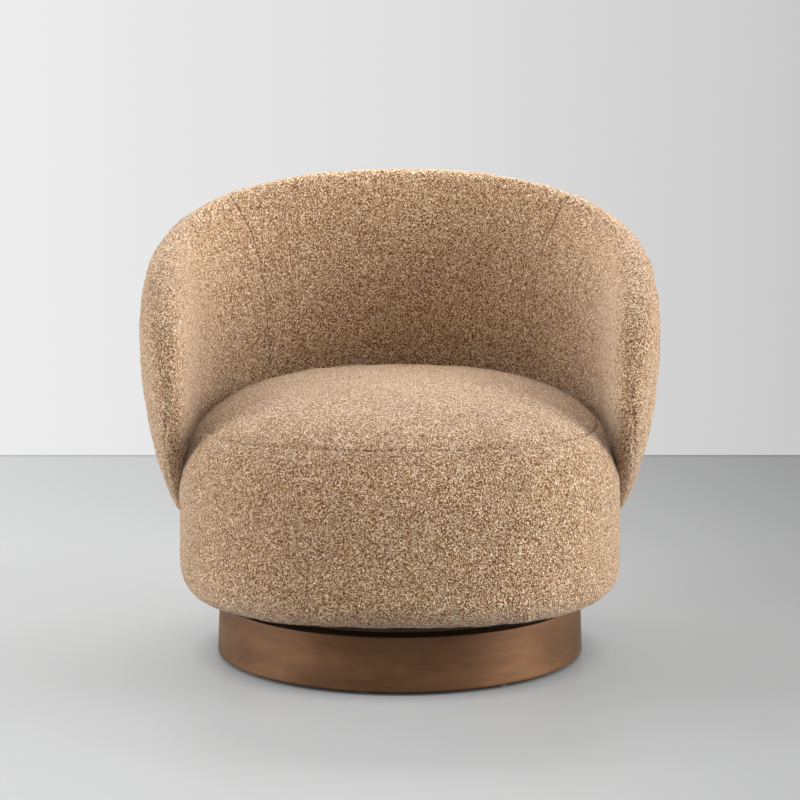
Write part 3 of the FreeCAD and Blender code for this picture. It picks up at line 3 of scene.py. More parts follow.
import bmesh
import bpy
import numpy as np
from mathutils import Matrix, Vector


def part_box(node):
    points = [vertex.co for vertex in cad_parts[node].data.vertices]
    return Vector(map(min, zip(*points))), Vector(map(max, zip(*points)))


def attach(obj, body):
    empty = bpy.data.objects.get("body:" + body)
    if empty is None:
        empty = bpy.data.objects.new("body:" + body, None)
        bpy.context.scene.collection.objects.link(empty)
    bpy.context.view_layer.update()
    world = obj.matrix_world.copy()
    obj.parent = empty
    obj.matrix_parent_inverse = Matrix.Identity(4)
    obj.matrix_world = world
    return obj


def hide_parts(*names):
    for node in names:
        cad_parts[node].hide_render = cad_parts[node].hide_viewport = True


# %% [markdown]
# # A swivel barrel chair
#
# The chair is a round, padded drum that one sits on, held by a back that wraps round it and falls to two
# rounded arms. It stands on a low metal plinth and turns on a ball bearing hidden between the two.
#
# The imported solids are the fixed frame: plinth boards, bearing, springs, ribs and screws stay as they are and
# get finishes. The covers and the metal band are what the eye meets, so they are made again here, finer.
# Everything is in metres: +X to one side, +Y to the back, +Z up, and the floor is at zero.

# %% Load the frame
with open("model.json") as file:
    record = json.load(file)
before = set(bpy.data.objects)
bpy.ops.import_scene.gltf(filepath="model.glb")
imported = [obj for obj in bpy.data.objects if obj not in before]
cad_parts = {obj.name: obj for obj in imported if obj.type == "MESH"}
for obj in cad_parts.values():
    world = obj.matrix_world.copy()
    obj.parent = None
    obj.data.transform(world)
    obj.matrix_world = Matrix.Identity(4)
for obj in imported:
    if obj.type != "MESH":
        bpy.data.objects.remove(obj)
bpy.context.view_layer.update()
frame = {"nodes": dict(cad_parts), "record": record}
nodes = frame["nodes"]

# %% [markdown]
# ## Putting a worked-out surface into a mesh
#
# A surface here is a formula of two parameters. The formula is worked out for a whole grid of parameter values
# at once, as numpy arrays, and the grid becomes a mesh of four-sided faces. Writing the vertex list with one
# call is fast, and keeping the shape as a formula means that it can be sampled as finely as the cloth needs.
# The same shapes could be pulled out of a few faces by hand, but then every later change is made by hand too.


# %% A grid of points becomes a mesh
def grid_faces(rows, columns, closed_round):
    """Corner numbers of the faces between neighbours on a grid, joined round if the last column meets the first."""
    steps = columns if closed_round else columns - 1
    row, column = np.meshgrid(np.arange(rows - 1), np.arange(steps), indexing="ij")
    after = (column + 1) % columns
    corners = [row * columns + column, row * columns + after, (row + 1) * columns + after, (row + 1) * columns + column]
    return np.stack(corners, -1).reshape(-1, 4)


def put_in_mesh(name, points, quads, triangles=(), flip=False):
    """A mesh object with points and faces written in single calls, and smooth shading."""
    quads = np.asarray(quads, int).reshape(-1, 4)
    triangles = np.asarray(triangles, int).reshape(-1, 3)
    if flip:
        quads, triangles = quads[:, ::-1], triangles[:, ::-1]
    corners = np.concatenate([quads.ravel(), triangles.ravel()])
    sizes = np.concatenate([np.full(len(quads), 4), np.full(len(triangles), 3)])
    mesh = bpy.data.meshes.new(name)
    mesh.vertices.add(len(points))
    mesh.vertices.foreach_set("co", np.asarray(points, np.float32).ravel())
    mesh.loops.add(len(corners))
    mesh.loops.foreach_set("vertex_index", corners.astype(np.int32))
    mesh.polygons.add(len(sizes))
    mesh.polygons.foreach_set("loop_start", np.concatenate([[0], np.cumsum(sizes)[:-1]]).astype(np.int32))
    mesh.polygons.foreach_set("use_smooth", np.ones(len(sizes), bool))
    mesh.update(calc_edges=True)
    mesh.validate()
    thing = bpy.data.objects.new(name, mesh)
    bpy.context.scene.collection.objects.link(thing)
    return thing


SAME_PLACE = 1e-6


def close_poles(thing):
    """Points that fall on one place, as at a pole, become one, so the mesh has no faces without width there."""
    work = bmesh.new()
    work.from_mesh(thing.data)
    bmesh.ops.remove_doubles(work, verts=work.verts, dist=SAME_PLACE)
    work.to_mesh(thing.data)
    work.free()


def give_wall(thing, thickness):
    """A Solidify modifier that grows a sheet inwards to a cloth with a real thickness and closed edges."""
    wall = thing.modifiers.new("wall", "SOLIDIFY")
    wall.thickness = thickness
    wall.offset = -1.0


print("tools for meshes are ready; a 3 by 4 grid has", len(grid_faces(3, 4, False)), "faces")


# %% [markdown]
# ## The cloth's own small unevenness
#
# A boucle over foam is never a perfect surface: the yarn's loops stand up, and the foam below has soft lumps.
# The loops are too small for vertices and go into the material. The lumps are real: a sum of waves in many
# directions, each as long as a lump, moves the surface in and out by less than a millimetre. A Displace
# modifier with a noise texture could do this too, but here the lumps know how far away each seam is.

# %% Lumps from a sum of waves
SEED, WAVES, LENGTH_SPREAD = 7, 28, (0.75, 1.4)
dice = np.random.default_rng(SEED)


def wave_field(wave_length, count=WAVES):
    """Directions and phases of random waves with nearly one length."""
    ways = dice.normal(size=(count, 3))
    ways /= np.linalg.norm(ways, axis=1)[:, None]
    ways *= 2 * np.pi / (wave_length * dice.uniform(*LENGTH_SPREAD, count))[:, None]
    return ways, dice.uniform(0, 2 * np.pi, count)


def lumps(points, field):
    """Sum over k of sin(way_k . p + phase_k), scaled to about -1 to 1."""
    ways, phases = field
    total = np.zeros(points.shape[:-1])
    for way, phase in zip(ways, phases):
        total += np.sin(points @ way + phase)
    return total / np.sqrt(len(ways))


LONG_WAVE, SHORT_WAVE = 0.045, 0.013
LONG_HEIGHT, SHORT_HEIGHT = 0.00055, 0.00035
LONG_WAVES = wave_field(LONG_WAVE)
SHORT_WAVES = wave_field(SHORT_WAVE)
print("lumps", LONG_WAVE, "and", SHORT_WAVE, "m long,", LONG_HEIGHT, "and", SHORT_HEIGHT, "m high")


# %% Normals of a grid, and the way to its edges
def grid_normals(points, closed_round):
    """Unit normals of a grid: the cross product of its two directions."""
    along = np.gradient(points, axis=0)
    if closed_round:
        around = (np.roll(points, -1, axis=1) - np.roll(points, 1, axis=1)) / 2
    else:
        around = np.gradient(points, axis=1)
    normal = np.cross(along, around)
    length = np.linalg.norm(normal, axis=-1, keepdims=True)
    return normal / np.maximum(length, 1e-12)


def edge_distance(points, axis, end):
    """Length along the grid lines of one axis, from the first (end 0) or the last (end 1) point of each."""
    steps = np.linalg.norm(np.diff(points, axis=axis), axis=-1)
    if end:
        steps = np.flip(steps, axis)
    total = np.cumsum(steps, axis=axis)
    first = np.zeros_like(np.take(total, [0], axis=axis))
    total = np.concatenate([first, total], axis=axis)
    return np.flip(total, axis) if end else total


flat_grid = np.stack([*np.meshgrid(np.arange(3.0), np.arange(3.0), indexing="ij"), np.zeros((3, 3))], -1)
print("a flat grid of 3 by 3 points has the normal", grid_normals(flat_grid, False)[1, 1].tolist(),
      "and is", edge_distance(flat_grid, 0, 0).max(), "long")


# %% Cloth laid over a grid
SEAM_WIDTH, SEAM_POWER = 0.008, 2.2
PUCKER_REACH, PUCKER_SHARE = 0.020, 0.15
FORWARDS = np.array([0.0, -1.0, 0.0])


def seam_dip(distance, depth):
    """Depth of the cloth by a seam: it falls with a power of the nearness, softly at first."""
    share = np.clip(1 - distance / SEAM_WIDTH, 0, 1)
    return depth * share ** SEAM_POWER


def upholster(points, out, seams, closed_round=False, nose=0.0):
    """A grid moved along its normals: lumps everywhere, and by each seam a dip and puckers; forwards at a nose."""
    normal = grid_normals(points, closed_round)
    normal = normal * np.sign(np.sum(normal * out, axis=-1).mean())
    normal = normal * (1 - nose) + FORWARDS * nose
    normal /= np.linalg.norm(normal, axis=-1, keepdims=True)
    height = LONG_HEIGHT * lumps(points, LONG_WAVES) + SHORT_HEIGHT * lumps(points, SHORT_WAVES)
    dips = np.max([seam_dip(distance, depth) for distance, depth in seams], axis=0)
    puckers = np.max([PUCKER_SHARE * depth * np.exp(-distance / PUCKER_REACH) for distance, depth in seams], axis=0)
    height = height - dips + puckers * lumps(points, SHORT_WAVES)
    return points + normal * height[..., None]


print("a seam's dip reaches its full depth on the seam and ends", SEAM_WIDTH, "m from it")


# %% [markdown]
# ## The back shell
#
# Seen from above, the shell is a band between two superellipses, a round one outside and a slightly squarer
# one inside, that runs on as two straight arms. Seen in a section across the band, it is a tall rounded
# form. One formula gives both: a *station* walks along the band from one arm's nose to the other, and a
# *turn* walks round the section. The covers are windows cut out of this one surface along the seams.
# A cage of a few faces under Subdivision Surface could hold this shape as well, but its seams would have to
# follow the cage. On a formula a seam can run anywhere, and two covers meet on it exactly.

# %% Sizes of the shell
ARM_HALF_WIDTH, BACK_DEPTH = 0.392, 0.3604
ARM_INSIDE, BACK_INSIDE = 0.305, 0.232
INNER_SQUARENESS, OUTER_SQUARENESS, HEM_SQUARENESS = 2.1, 2.0, 2.5
ARM_START, ARM_NOSE, CURVE_SHARE, ARM_CLOSING = -0.020, -0.196, 0.75, 0.04
SHELL_TOP, SHELL_BOTTOM, BELLY, NOSE_LEVEL = 0.7205, 0.116, 0.585, 0.430
SIDE_TAPER, REAR_TAPER, TAPER_POWER, TOP_TAPER, TOP_LEAN = 0.18, 0.05, 2.05, 0.117, 0.005
ROLL_SQUARENESS, RIM_FALL, HEM_RISE, NOSE_ROUND = 2.6, 1.07, 1.43, 11
RIM_SEAM = np.radians(64.4)
RIM_DIP, PANEL_DIP, SEAT_DIP, NOSE_DIP = 0.0012, 0.0014, 0.0012, 0.0010
print("shell:", 2 * ARM_HALF_WIDTH, "m wide before it is narrowed, from", SHELL_BOTTOM, "to", SHELL_TOP, "m")


# %% The shell's surface
def shell_plan(half_width, depth, squareness, away):
    """Superellipse x = a sin^(2/n), y = b cos^(2/n) up to the arms, then a straight run to the nose."""
    turn = np.clip(away / CURVE_SHARE, 0, 1) * np.pi / 2
    arm = np.clip((away - CURVE_SHARE) / (1 - CURVE_SHARE), 0, 1)
    x = half_width * np.sin(turn) ** (2 / squareness) * (1 - ARM_CLOSING * arm ** 2)
    y = ARM_START + (depth - ARM_START) * np.clip(np.cos(turn), 0, 1) ** (2 / squareness)
    return x, y - arm * (ARM_START - ARM_NOSE)


def shell_surface(station, turn):
    """Points of the shell: station from -1 to 1 along it, turn round its section from the outer face.

    The section is a superellipse. Its sine part gives the level, between a top and a bottom edge that close in
    towards the nose, and its cosine part gives the mix of the inner and the outer plan. The outer plan narrows
    below the belly with a power of the drop and above it with the square of the lift; the inner one leans out.
    """
    away = np.abs(station)
    inner_x, inner_y = shell_plan(ARM_INSIDE, BACK_INSIDE, INNER_SQUARENESS, away)
    outer_x, outer_y = shell_plan(ARM_HALF_WIDTH, BACK_DEPTH, OUTER_SQUARENESS, away)
    rear = (BACK_INSIDE + BACK_DEPTH) / 2
    ahead = np.clip((rear - (inner_y + outer_y) / 2) / (rear - ARM_NOSE), 0, 1)
    up, out = np.sin(turn), np.cos(turn)
    reach = (np.abs(up) ** ROLL_SQUARENESS + np.abs(out) ** ROLL_SQUARENESS) ** (-1 / ROLL_SQUARENESS)
    half = np.where(up > 0, (SHELL_TOP - NOSE_LEVEL) * np.sqrt(1 - ahead ** RIM_FALL),
                    (NOSE_LEVEL - SHELL_BOTTOM) * np.sqrt(1 - ahead ** HEM_RISE))
    mix = 0.5 * (1 + reach * out * np.sqrt(1 - away ** NOSE_ROUND))
    level = NOSE_LEVEL + half * reach * up
    drop = np.clip((BELLY - level) / (BELLY - SHELL_BOTTOM), 0, None) ** TAPER_POWER
    lift = np.clip((level - BELLY) / (SHELL_TOP - BELLY), 0, None)
    narrow = 1 - SIDE_TAPER * drop - TOP_TAPER * lift ** 2
    shallow = 1 - REAR_TAPER * drop - TOP_TAPER * lift ** 2
    lean = 1 + TOP_LEAN * lift
    squareness = OUTER_SQUARENESS + (HEM_SQUARENESS - OUTER_SQUARENESS) * drop
    outer_x, outer_y = shell_plan(ARM_HALF_WIDTH, BACK_DEPTH, squareness, away)
    behind = outer_y > ARM_START
    outer_y = np.where(behind, ARM_START + (outer_y - ARM_START) * shallow, outer_y)
    inner_y = np.where(behind, ARM_START + (inner_y - ARM_START) * lean, inner_y) + 0 * level
    x = inner_x * lean + (outer_x * narrow - inner_x * lean) * mix
    y = inner_y + (outer_y - inner_y) * mix
    return np.stack([np.sign(station) * x, y, level], -1)


def crowded(count, first=-1, share=1.0):
    """Steps from first to 1, a mix of even ones and the sine of even turns: they crowd where an edge needs them."""
    even = np.linspace(first, 1, count)
    return share * np.sin(even * np.pi / 2) + (1 - share) * even


print("top of the rim at the back:", shell_surface(np.zeros(1), np.full(1, np.pi / 2)).round(4).tolist())


# %% [markdown]
# ## The four covers of the back
#
# The outside cover goes round the whole back in one piece, from the rim seam over the outer face to the hem.
# Inside are three panels: the middle of the back, and one for each arm, which meet it at an upright seam.
# Each panel's border is found on the formula itself: along every line of the section, the station where the
# surface passes the seam's distance from the middle. A cut through one finished mesh would leave ragged faces
# along the seam, while a window of its own has its last grid line lying on it.

# %% Outside cover
COVER_WALL = 0.003
NOSE_SHARE = 0.015
OUTSIDE_STATIONS, OUTSIDE_TURNS = 414, 117


def nose_share(station):
    """1 at the arms' noses, where inner and outer side meet, falling to 0 within a short way."""
    return np.clip((np.abs(station) - (1 - NOSE_SHARE)) / NOSE_SHARE, 0, 1)


def outside_cover():
    """The window of the shell between the two rim seams, over the outer face."""
    station = crowded(OUTSIDE_STATIONS)[:, None]
    turn = RIM_SEAM * crowded(OUTSIDE_TURNS, share=0.4)[None, :]
    points = shell_surface(station + 0 * turn, turn + 0 * station)
    seams = [(edge_distance(points, 1, 0), RIM_DIP), (edge_distance(points, 1, 1), RIM_DIP),
             (edge_distance(points, 0, 0), NOSE_DIP), (edge_distance(points, 0, 1), NOSE_DIP)]
    whole = np.concatenate([points, shell_surface(station, turn + np.pi)], axis=1)
    return upholster(points, points - whole.mean(axis=1, keepdims=True), seams, nose=nose_share(station)[..., None])


outside_points = outside_cover()
outside_cover_piece = put_in_mesh("cover_outside_back", outside_points.reshape(-1, 3),
                                  grid_faces(*outside_points.shape[:2], False))
print("outside cover:", outside_points.shape[0] * outside_points.shape[1], "points")


# %% The upright seams
SEAM_FROM_MIDDLE, SEAM_LEAN, SEAM_FLARE = 0.2045, 0.010, 0.055
SEAM_FOOT, SEAM_HEIGHT, SEAM_HIGHEST = 0.39, 0.30, 1.1
TRIAL_STATIONS = np.linspace(0.02, 0.80, 500)
INSIDE_LINES = 200


def panel_seam(level):
    """Distance d + a h + b h^4 of the upright seams from the middle: nearly straight, flaring out near the rim."""
    high = np.clip((level - SEAM_FOOT) / SEAM_HEIGHT, 0, SEAM_HIGHEST)
    return SEAM_FROM_MIDDLE + SEAM_LEAN * high + SEAM_FLARE * high ** 4


def panel_border(turn):
    """Station at which the surface passes the panel seam, for each turn."""
    points = shell_surface(TRIAL_STATIONS[:, None], turn[None, :])
    past = points[..., 0] - panel_seam(points[..., 2])
    return np.array([np.interp(0, past[:, k], TRIAL_STATIONS) for k in range(len(turn))])


INSIDE_TURNS = np.pi + (np.pi - RIM_SEAM) * crowded(INSIDE_LINES, share=0.3)
BORDER = panel_border(INSIDE_TURNS)
print("upright seams at stations from", BORDER.min().round(3), "to", BORDER.max().round(3))


# %% Inside panels
ARM_STATIONS, BACK_STATIONS = 200, 180


def inside_panel(first, last, share, seam_first, seam_last):
    """A window of the inner side between two lines of stations, given for each turn, with a dip along each."""
    share = share[:, None]
    station = first[None, :] + (last - first)[None, :] * share
    turn = INSIDE_TURNS[None, :] + 0 * share
    points = shell_surface(station, turn)
    whole = np.concatenate([points, shell_surface(station, turn + np.pi)], axis=1)
    seams = [(edge_distance(points, 1, 0), RIM_DIP), (edge_distance(points, 1, 1), RIM_DIP),
             (edge_distance(points, 0, 0), seam_first), (edge_distance(points, 0, 1), seam_last)]
    return upholster(points, points - whole.mean(axis=1, keepdims=True), seams, nose=nose_share(station)[..., None])


NOSE = np.ones_like(BORDER)
TO_NOSE = crowded(ARM_STATIONS, 0)
panels = {
    "cover_inside_back": inside_panel(-BORDER, BORDER, np.linspace(0, 1, BACK_STATIONS), PANEL_DIP, PANEL_DIP),
    "cover_inside_arm_left": inside_panel(BORDER, NOSE, TO_NOSE, PANEL_DIP, NOSE_DIP),
    "cover_inside_arm_right": inside_panel(-NOSE, -BORDER, 1 - TO_NOSE[::-1], NOSE_DIP, PANEL_DIP),
}
panel_pieces = {}
for name, points in panels.items():
    panel_pieces[name] = put_in_mesh(name, points.reshape(-1, 3), grid_faces(*points.shape[:2], False))
    print(name, points.shape[0] * points.shape[1], "points")

# %% [markdown]
# ## The drum and its seat
#
# The drum is a squarish round: a superellipse in plan whose size follows a profile, up from a rounded bottom
# edge, along a nearly upright side and over a domed seat. The top cover is one disc of cloth, sewn to the
# border along a line that runs level round the domed seat, part of the way up. A Screw modifier would turn the
# profile into a true circle, so here the profile scales a plan that is squarer than one.

# %% Sizes of the drum
DRUM_HALF_WIDTH, DRUM_HALF_DEPTH, DRUM_CENTRE, DRUM_SQUARENESS = 0.3288, 0.338, -0.020, 2.5
DRUM_BOTTOM, DRUM_CORNER, DRUM_SHOULDER, DRUM_CROWN, DOME_SQUARENESS = 0.110, 0.040, 0.262, 0.430, 2.6
SEAT_SEAM, DRUM_HEM = 0.360, 0.045
DRUM_STEPS, TOP_ROWS, SHOULDER_ROWS, SIDE_ROWS, CORNER_ROWS, HEM_ROWS = 440, 109, 46, 34, 18, 12
TOP_CROWDING = 0.95
print("drum:", 2 * DRUM_HALF_WIDTH, "by", 2 * DRUM_HALF_DEPTH, "m, seat crown at", DRUM_CROWN, "m")


# %% The drum's surface
def drum_surface(shares, inset, level):
    """Plan |x/a|^n + |y/b|^n = 1 at a level: (a, b) shrunk by a share and an inset."""
    angle = np.linspace(0, 2 * np.pi, DRUM_STEPS, endpoint=False)[None, :]
    half_width = (DRUM_HALF_WIDTH * shares - inset)[:, None]
    half_depth = (DRUM_HALF_DEPTH * shares - inset)[:, None]
    power = 2 / DRUM_SQUARENESS
    x = half_width * np.sign(np.cos(angle)) * np.abs(np.cos(angle)) ** power
    y = DRUM_CENTRE + half_depth * np.sign(np.sin(angle)) * np.abs(np.sin(angle)) ** power
    return np.stack([x, y, level[:, None] + 0 * x], -1)


def dome(turn):
    """Share of the plan and level of the domed seat, as a superellipse from shoulder to crown."""
    power = 2 / DOME_SQUARENESS
    return np.cos(turn) ** power, DRUM_SHOULDER + (DRUM_CROWN - DRUM_SHOULDER) * np.sin(turn) ** power


seam_turn = np.arcsin(((SEAT_SEAM - DRUM_SHOULDER) / (DRUM_CROWN - DRUM_SHOULDER)) ** (DOME_SQUARENESS / 2))
drum_middle = np.array([0, DRUM_CENTRE, 0.25])
print("the seat's seam lies", np.degrees(seam_turn).round(1), "degrees up the dome")

# %% Top cover
top_turns = seam_turn + (np.pi / 2 - seam_turn) * np.linspace(0, 1, TOP_ROWS + 1)[:-1] ** TOP_CROWDING
top_shares, top_levels = dome(top_turns)
top_points = drum_surface(top_shares, np.zeros_like(top_shares), top_levels)
top_points = upholster(top_points, top_points - drum_middle, [(edge_distance(top_points, 0, 0), SEAT_DIP)], True)
crown = top_points[-1].mean(axis=0)
top_all = np.concatenate([top_points.reshape(-1, 3), crown[None, :]])
rim = (len(top_turns) - 1) * DRUM_STEPS + np.arange(DRUM_STEPS)
cap = np.stack([rim, np.roll(rim, -1), np.full(DRUM_STEPS, len(top_all) - 1)], -1)
seat_top = put_in_mesh("cover_seat_top", top_all, grid_faces(len(top_turns), DRUM_STEPS, True), cap)
print("top cover:", len(top_all), "points, seam at", SEAT_SEAM, "m")

# %% Border cover
border_turns = np.linspace(seam_turn, 0, SHOULDER_ROWS)
border_shares, border_levels = dome(border_turns)
side_levels = np.linspace(DRUM_SHOULDER, DRUM_BOTTOM + DRUM_CORNER, SIDE_ROWS)[1:]
corner = np.linspace(0, np.pi / 2, CORNER_ROWS)[1:]
hem = np.linspace(0, DRUM_HEM, HEM_ROWS)[1:]
shares = np.concatenate([border_shares, np.ones(len(side_levels) + len(corner) + len(hem))])
insets = np.concatenate([np.zeros(len(border_shares) + len(side_levels)), DRUM_CORNER * (1 - np.cos(corner)),
                         DRUM_CORNER + hem])
levels = np.concatenate([border_levels, side_levels, DRUM_BOTTOM + DRUM_CORNER * (1 - np.sin(corner)),
                         np.full(len(hem), DRUM_BOTTOM)])
border_points = drum_surface(shares, insets, levels)
border_seam = [(edge_distance(border_points, 0, 0), SEAT_DIP)]
border_points = upholster(border_points, border_points - drum_middle, border_seam, True)
seat_border = put_in_mesh("cover_seat_border", border_points.reshape(-1, 3),
                          grid_faces(len(levels), DRUM_STEPS, True), flip=True)
print("border cover:", border_points.shape[0] * border_points.shape[1], "points")


# %% [markdown]
# ## The plinth's metal band
#
# The band is rolled from sheet and turned in at both edges, so its profile is a slim bracket: a lip, a bend, a
# slightly leaning wall, a bend and a lip. Carried round the axis it is a closed ring with a real wall. The
# brush strokes of its finish run round it, so it gets a UV map: metres along the circle and metres up. A Screw
# modifier could turn the same profile, but on a grid the map comes with the points, in true metres.

# %% Profile of the band
band_low, band_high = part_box("base_band")
BAND_OUTER = (band_high.x - band_low.x) / 2
BAND_BOTTOM, BAND_TOP = band_low.z, band_high.z
BAND_LEAN = 0.0032
BAND_SHEET, BAND_LIP, BAND_BEND = 0.0015, 0.030, 0.0022
BAND_STEPS, BEND_STEPS, WALL_STEPS = 480, 7, 12
SHARP_FROM = np.radians(40)


def band_profile():
    """Radius and height along a bracket: out along the bottom lip, up the wall, in along the top lip, and back."""
    bend = np.linspace(0, np.pi / 2, BEND_STEPS)
    top_outer = BAND_OUTER - BAND_LEAN
    outer = [(BAND_OUTER - BAND_LIP, BAND_BOTTOM)]
    outer += [(BAND_OUTER - BAND_BEND + BAND_BEND * np.sin(a), BAND_BOTTOM + BAND_BEND - BAND_BEND * np.cos(a))
              for a in bend]
    outer += [(BAND_OUTER - BAND_LEAN * share, BAND_BOTTOM + (BAND_TOP - BAND_BOTTOM) * share)
              for share in np.linspace(0.08, 0.92, WALL_STEPS)]
    outer += [(top_outer - BAND_BEND + BAND_BEND * np.cos(a), BAND_TOP - BAND_BEND + BAND_BEND * np.sin(a))
              for a in bend]
    outer += [(top_outer - BAND_LIP, BAND_TOP)]
    inner = [(top_outer - BAND_LIP, BAND_TOP - BAND_SHEET), (top_outer - BAND_SHEET, BAND_TOP - BAND_SHEET),
             (BAND_OUTER - BAND_SHEET, BAND_BOTTOM + BAND_SHEET), (BAND_OUTER - BAND_LIP, BAND_BOTTOM + BAND_SHEET)]
    return np.array(outer + inner)


profile = band_profile()
print("band's profile:", len(profile), "points, radius", round(BAND_OUTER, 4), "m")

# %% The profile carried round the axis
angle = np.linspace(0, 2 * np.pi, BAND_STEPS, endpoint=False)
ring = np.stack([profile[None, :, 0] * np.cos(angle)[:, None], profile[None, :, 0] * np.sin(angle)[:, None],
                 profile[None, :, 1] + 0 * angle[:, None]], -1)
count = len(profile)
step, place = np.meshgrid(np.arange(BAND_STEPS), np.arange(count), indexing="ij")
after_step, after_place = (step + 1) % BAND_STEPS, (place + 1) % count
ring_faces = np.stack([step * count + place, after_step * count + place, after_step * count + after_place,
                       step * count + after_place], -1).reshape(-1, 4)
plinth_band = put_in_mesh("plinth_band", ring.reshape(-1, 3), ring_faces)
around = plinth_band.data.uv_layers.new(name="around")
corner_step = np.stack([step, step + 1, step + 1, step], -1).reshape(-1)
corner_height = np.stack([profile[place, 1], profile[place, 1], profile[after_place, 1], profile[after_place, 1]], -1)
around.data.foreach_set("uv", np.stack([corner_step * (2 * np.pi * BAND_OUTER / BAND_STEPS),
                                        corner_height.reshape(-1)], -1).astype(np.float32).ravel())
plinth_band.data.set_sharp_from_angle(angle=SHARP_FROM)
print("band:", BAND_STEPS * count, "points")


# %% [markdown]
# ## Finishes
#
# Each finish is one material on a Principled shader. An effect that several finishes share, such as patchy
# colour, is a small node group with named inputs, placed with its own values in each. The nodes could be copied
# into every material instead, but a group is built once and mended once.

# %% Tools for node groups
def sockets(group, inputs, outputs):
    """Declares a group's sockets from (name, type, value) lists."""
    for name, kind, value in inputs:
        socket = group.interface.new_socket(name=name, in_out="INPUT", socket_type=kind)
        if value is not None:
            socket.default_value = value
    for name, kind in outputs:
        group.interface.new_socket(name=name, in_out="OUTPUT", socket_type=kind)


def add(tree, kind, **settings):
    """A node with its settings; one that names an input, with _ for each space, sets that socket."""
    node = tree.nodes.new(kind)
    for key, value in settings.items():
        name = key.replace("_", " ")
        if name in node.inputs:
            node.inputs[name].default_value = value
        else:
            setattr(node, key, value)
    return node


def multiplied(tree, first, second):
    """The product of two colours; the second is a socket or a plain colour."""
    node = add(tree, "ShaderNodeMix", data_type="RGBA", blend_type="MULTIPLY")
    node.inputs["Factor"].default_value = 1.0
    tree.links.new(first, node.inputs[6])
    if isinstance(second, tuple):
        node.inputs[7].default_value = second
    else:
        tree.links.new(second, node.inputs[7])
    return node.outputs[2]


def bumped(tree, shader, height, strength, depth):
    """Makes a height the shader's bump."""
    bump = add(tree, "ShaderNodeBump", Strength=strength, Distance=depth)
    tree.links.new(height, bump.inputs["Height"])
    tree.links.new(bump.outputs["Normal"], shader.inputs["Normal"])


def ramp(tree, stops):
    """A colour ramp with (place, colour) stops."""
    node = tree.nodes.new("ShaderNodeValToRGB")
    while len(node.color_ramp.elements) < len(stops):
        node.color_ramp.elements.new(0.5)
    for element, (where, colour) in zip(node.color_ramp.elements, stops):
        element.position = where
        element.color = (*colour, 1.0)
    return node


print("tools for nodes are ready")


# %% Patchy colour
def patch_group():
    """Two colours mixed by soft noise: Base Color that wanders a little over a surface."""
    group = bpy.data.node_groups.new("patchy_colour", "ShaderNodeTree")
    sockets(group, [("Vector", "NodeSocketVector", None), ("Light", "NodeSocketColor", (0.8, 0.8, 0.8, 1)),
                    ("Dark", "NodeSocketColor", (0.2, 0.2, 0.2, 1)), ("Scale", "NodeSocketFloat", 10.0),
                    ("Low", "NodeSocketFloat", 0.35), ("High", "NodeSocketFloat", 0.65)],
            [("Color", "NodeSocketColor"), ("Mask", "NodeSocketFloat")])
    start, end = group.nodes.new("NodeGroupInput"), group.nodes.new("NodeGroupOutput")
    noise = add(group, "ShaderNodeTexNoise", Detail=4.0, Roughness=0.6)
    spread = add(group, "ShaderNodeMapRange", interpolation_type="SMOOTHSTEP")
    mix = add(group, "ShaderNodeMix", data_type="RGBA")
    link = group.links.new
    link(start.outputs["Vector"], noise.inputs["Vector"])
    link(start.outputs["Scale"], noise.inputs["Scale"])
    link(noise.outputs["Fac"], spread.inputs["Value"])
    link(start.outputs["Low"], spread.inputs["From Min"])
    link(start.outputs["High"], spread.inputs["From Max"])
    link(spread.outputs["Result"], mix.inputs["Factor"])
    link(start.outputs["Dark"], mix.inputs[6])
    link(start.outputs["Light"], mix.inputs[7])
    link(mix.outputs[2], end.inputs["Color"])
    link(spread.outputs["Result"], end.inputs["Mask"])
    return group


PATCHY = patch_group()
print("group", PATCHY.name, "has", len(PATCHY.nodes), "nodes")


# %% A new finish
def new_finish(name, **constants):
    """A material with a Principled shader whose constant sockets are set directly."""
    material = bpy.data.materials.new(name)
    material.use_nodes = True
    tree = material.node_tree
    shader = tree.nodes["Principled BSDF"]
    for socket, value in constants.items():
        shader.inputs[socket.replace("_", " ")].default_value = value
    return material, tree, shader


def place_coordinates(tree, stretch=(1, 1, 1)):
    """Object coordinates in metres, stretched by a Mapping node."""
    coordinates = tree.nodes.new("ShaderNodeTexCoord")
    mapping = tree.nodes.new("ShaderNodeMapping")
    mapping.inputs["Scale"].default_value = stretch
    tree.links.new(coordinates.outputs["Object"], mapping.inputs["Vector"])
    return mapping.outputs["Vector"]


print("a finish starts as a Principled shader on Object coordinates, which are metres")


# %% [markdown]
# ## Boucle
#
# The yarn is a thin, curly one: its loops lie in all directions, over and under each other, and catch the
# light on their crests, while the ground between them lies dark in shade. Where a soft noise passes its middle value it
# draws long wandering lines; the nearness to two such sets of lines, the higher of both, gives crossing
# strands. Small round cells gather them into nubs. Their sum is the height of the bump, and the same height
# paints a highlight on the crests and paints shade on the ground. Real loops of curves or hair would be far too
# heavy for a whole chair, and cells alone would look like pebbles, because a yarn is long.

# %% Loops of the yarn
STRANDS_PER_METRE, NUBS_PER_METRE, FUZZ_PER_METRE = 355.0, 400.0, 900.0
CURLS_PER_METRE, CURL = 260.0, 0.0022
STRAND_REACH, NUB_REACH = 0.17, 0.95
FIRST_SET, SECOND_SET = (0, 0, 0), (3.1, 7.7, 1.3)
STRAND_SHARE, NUB_SHARE, FUZZ_SHARE = 0.50, 0.42, 0.16


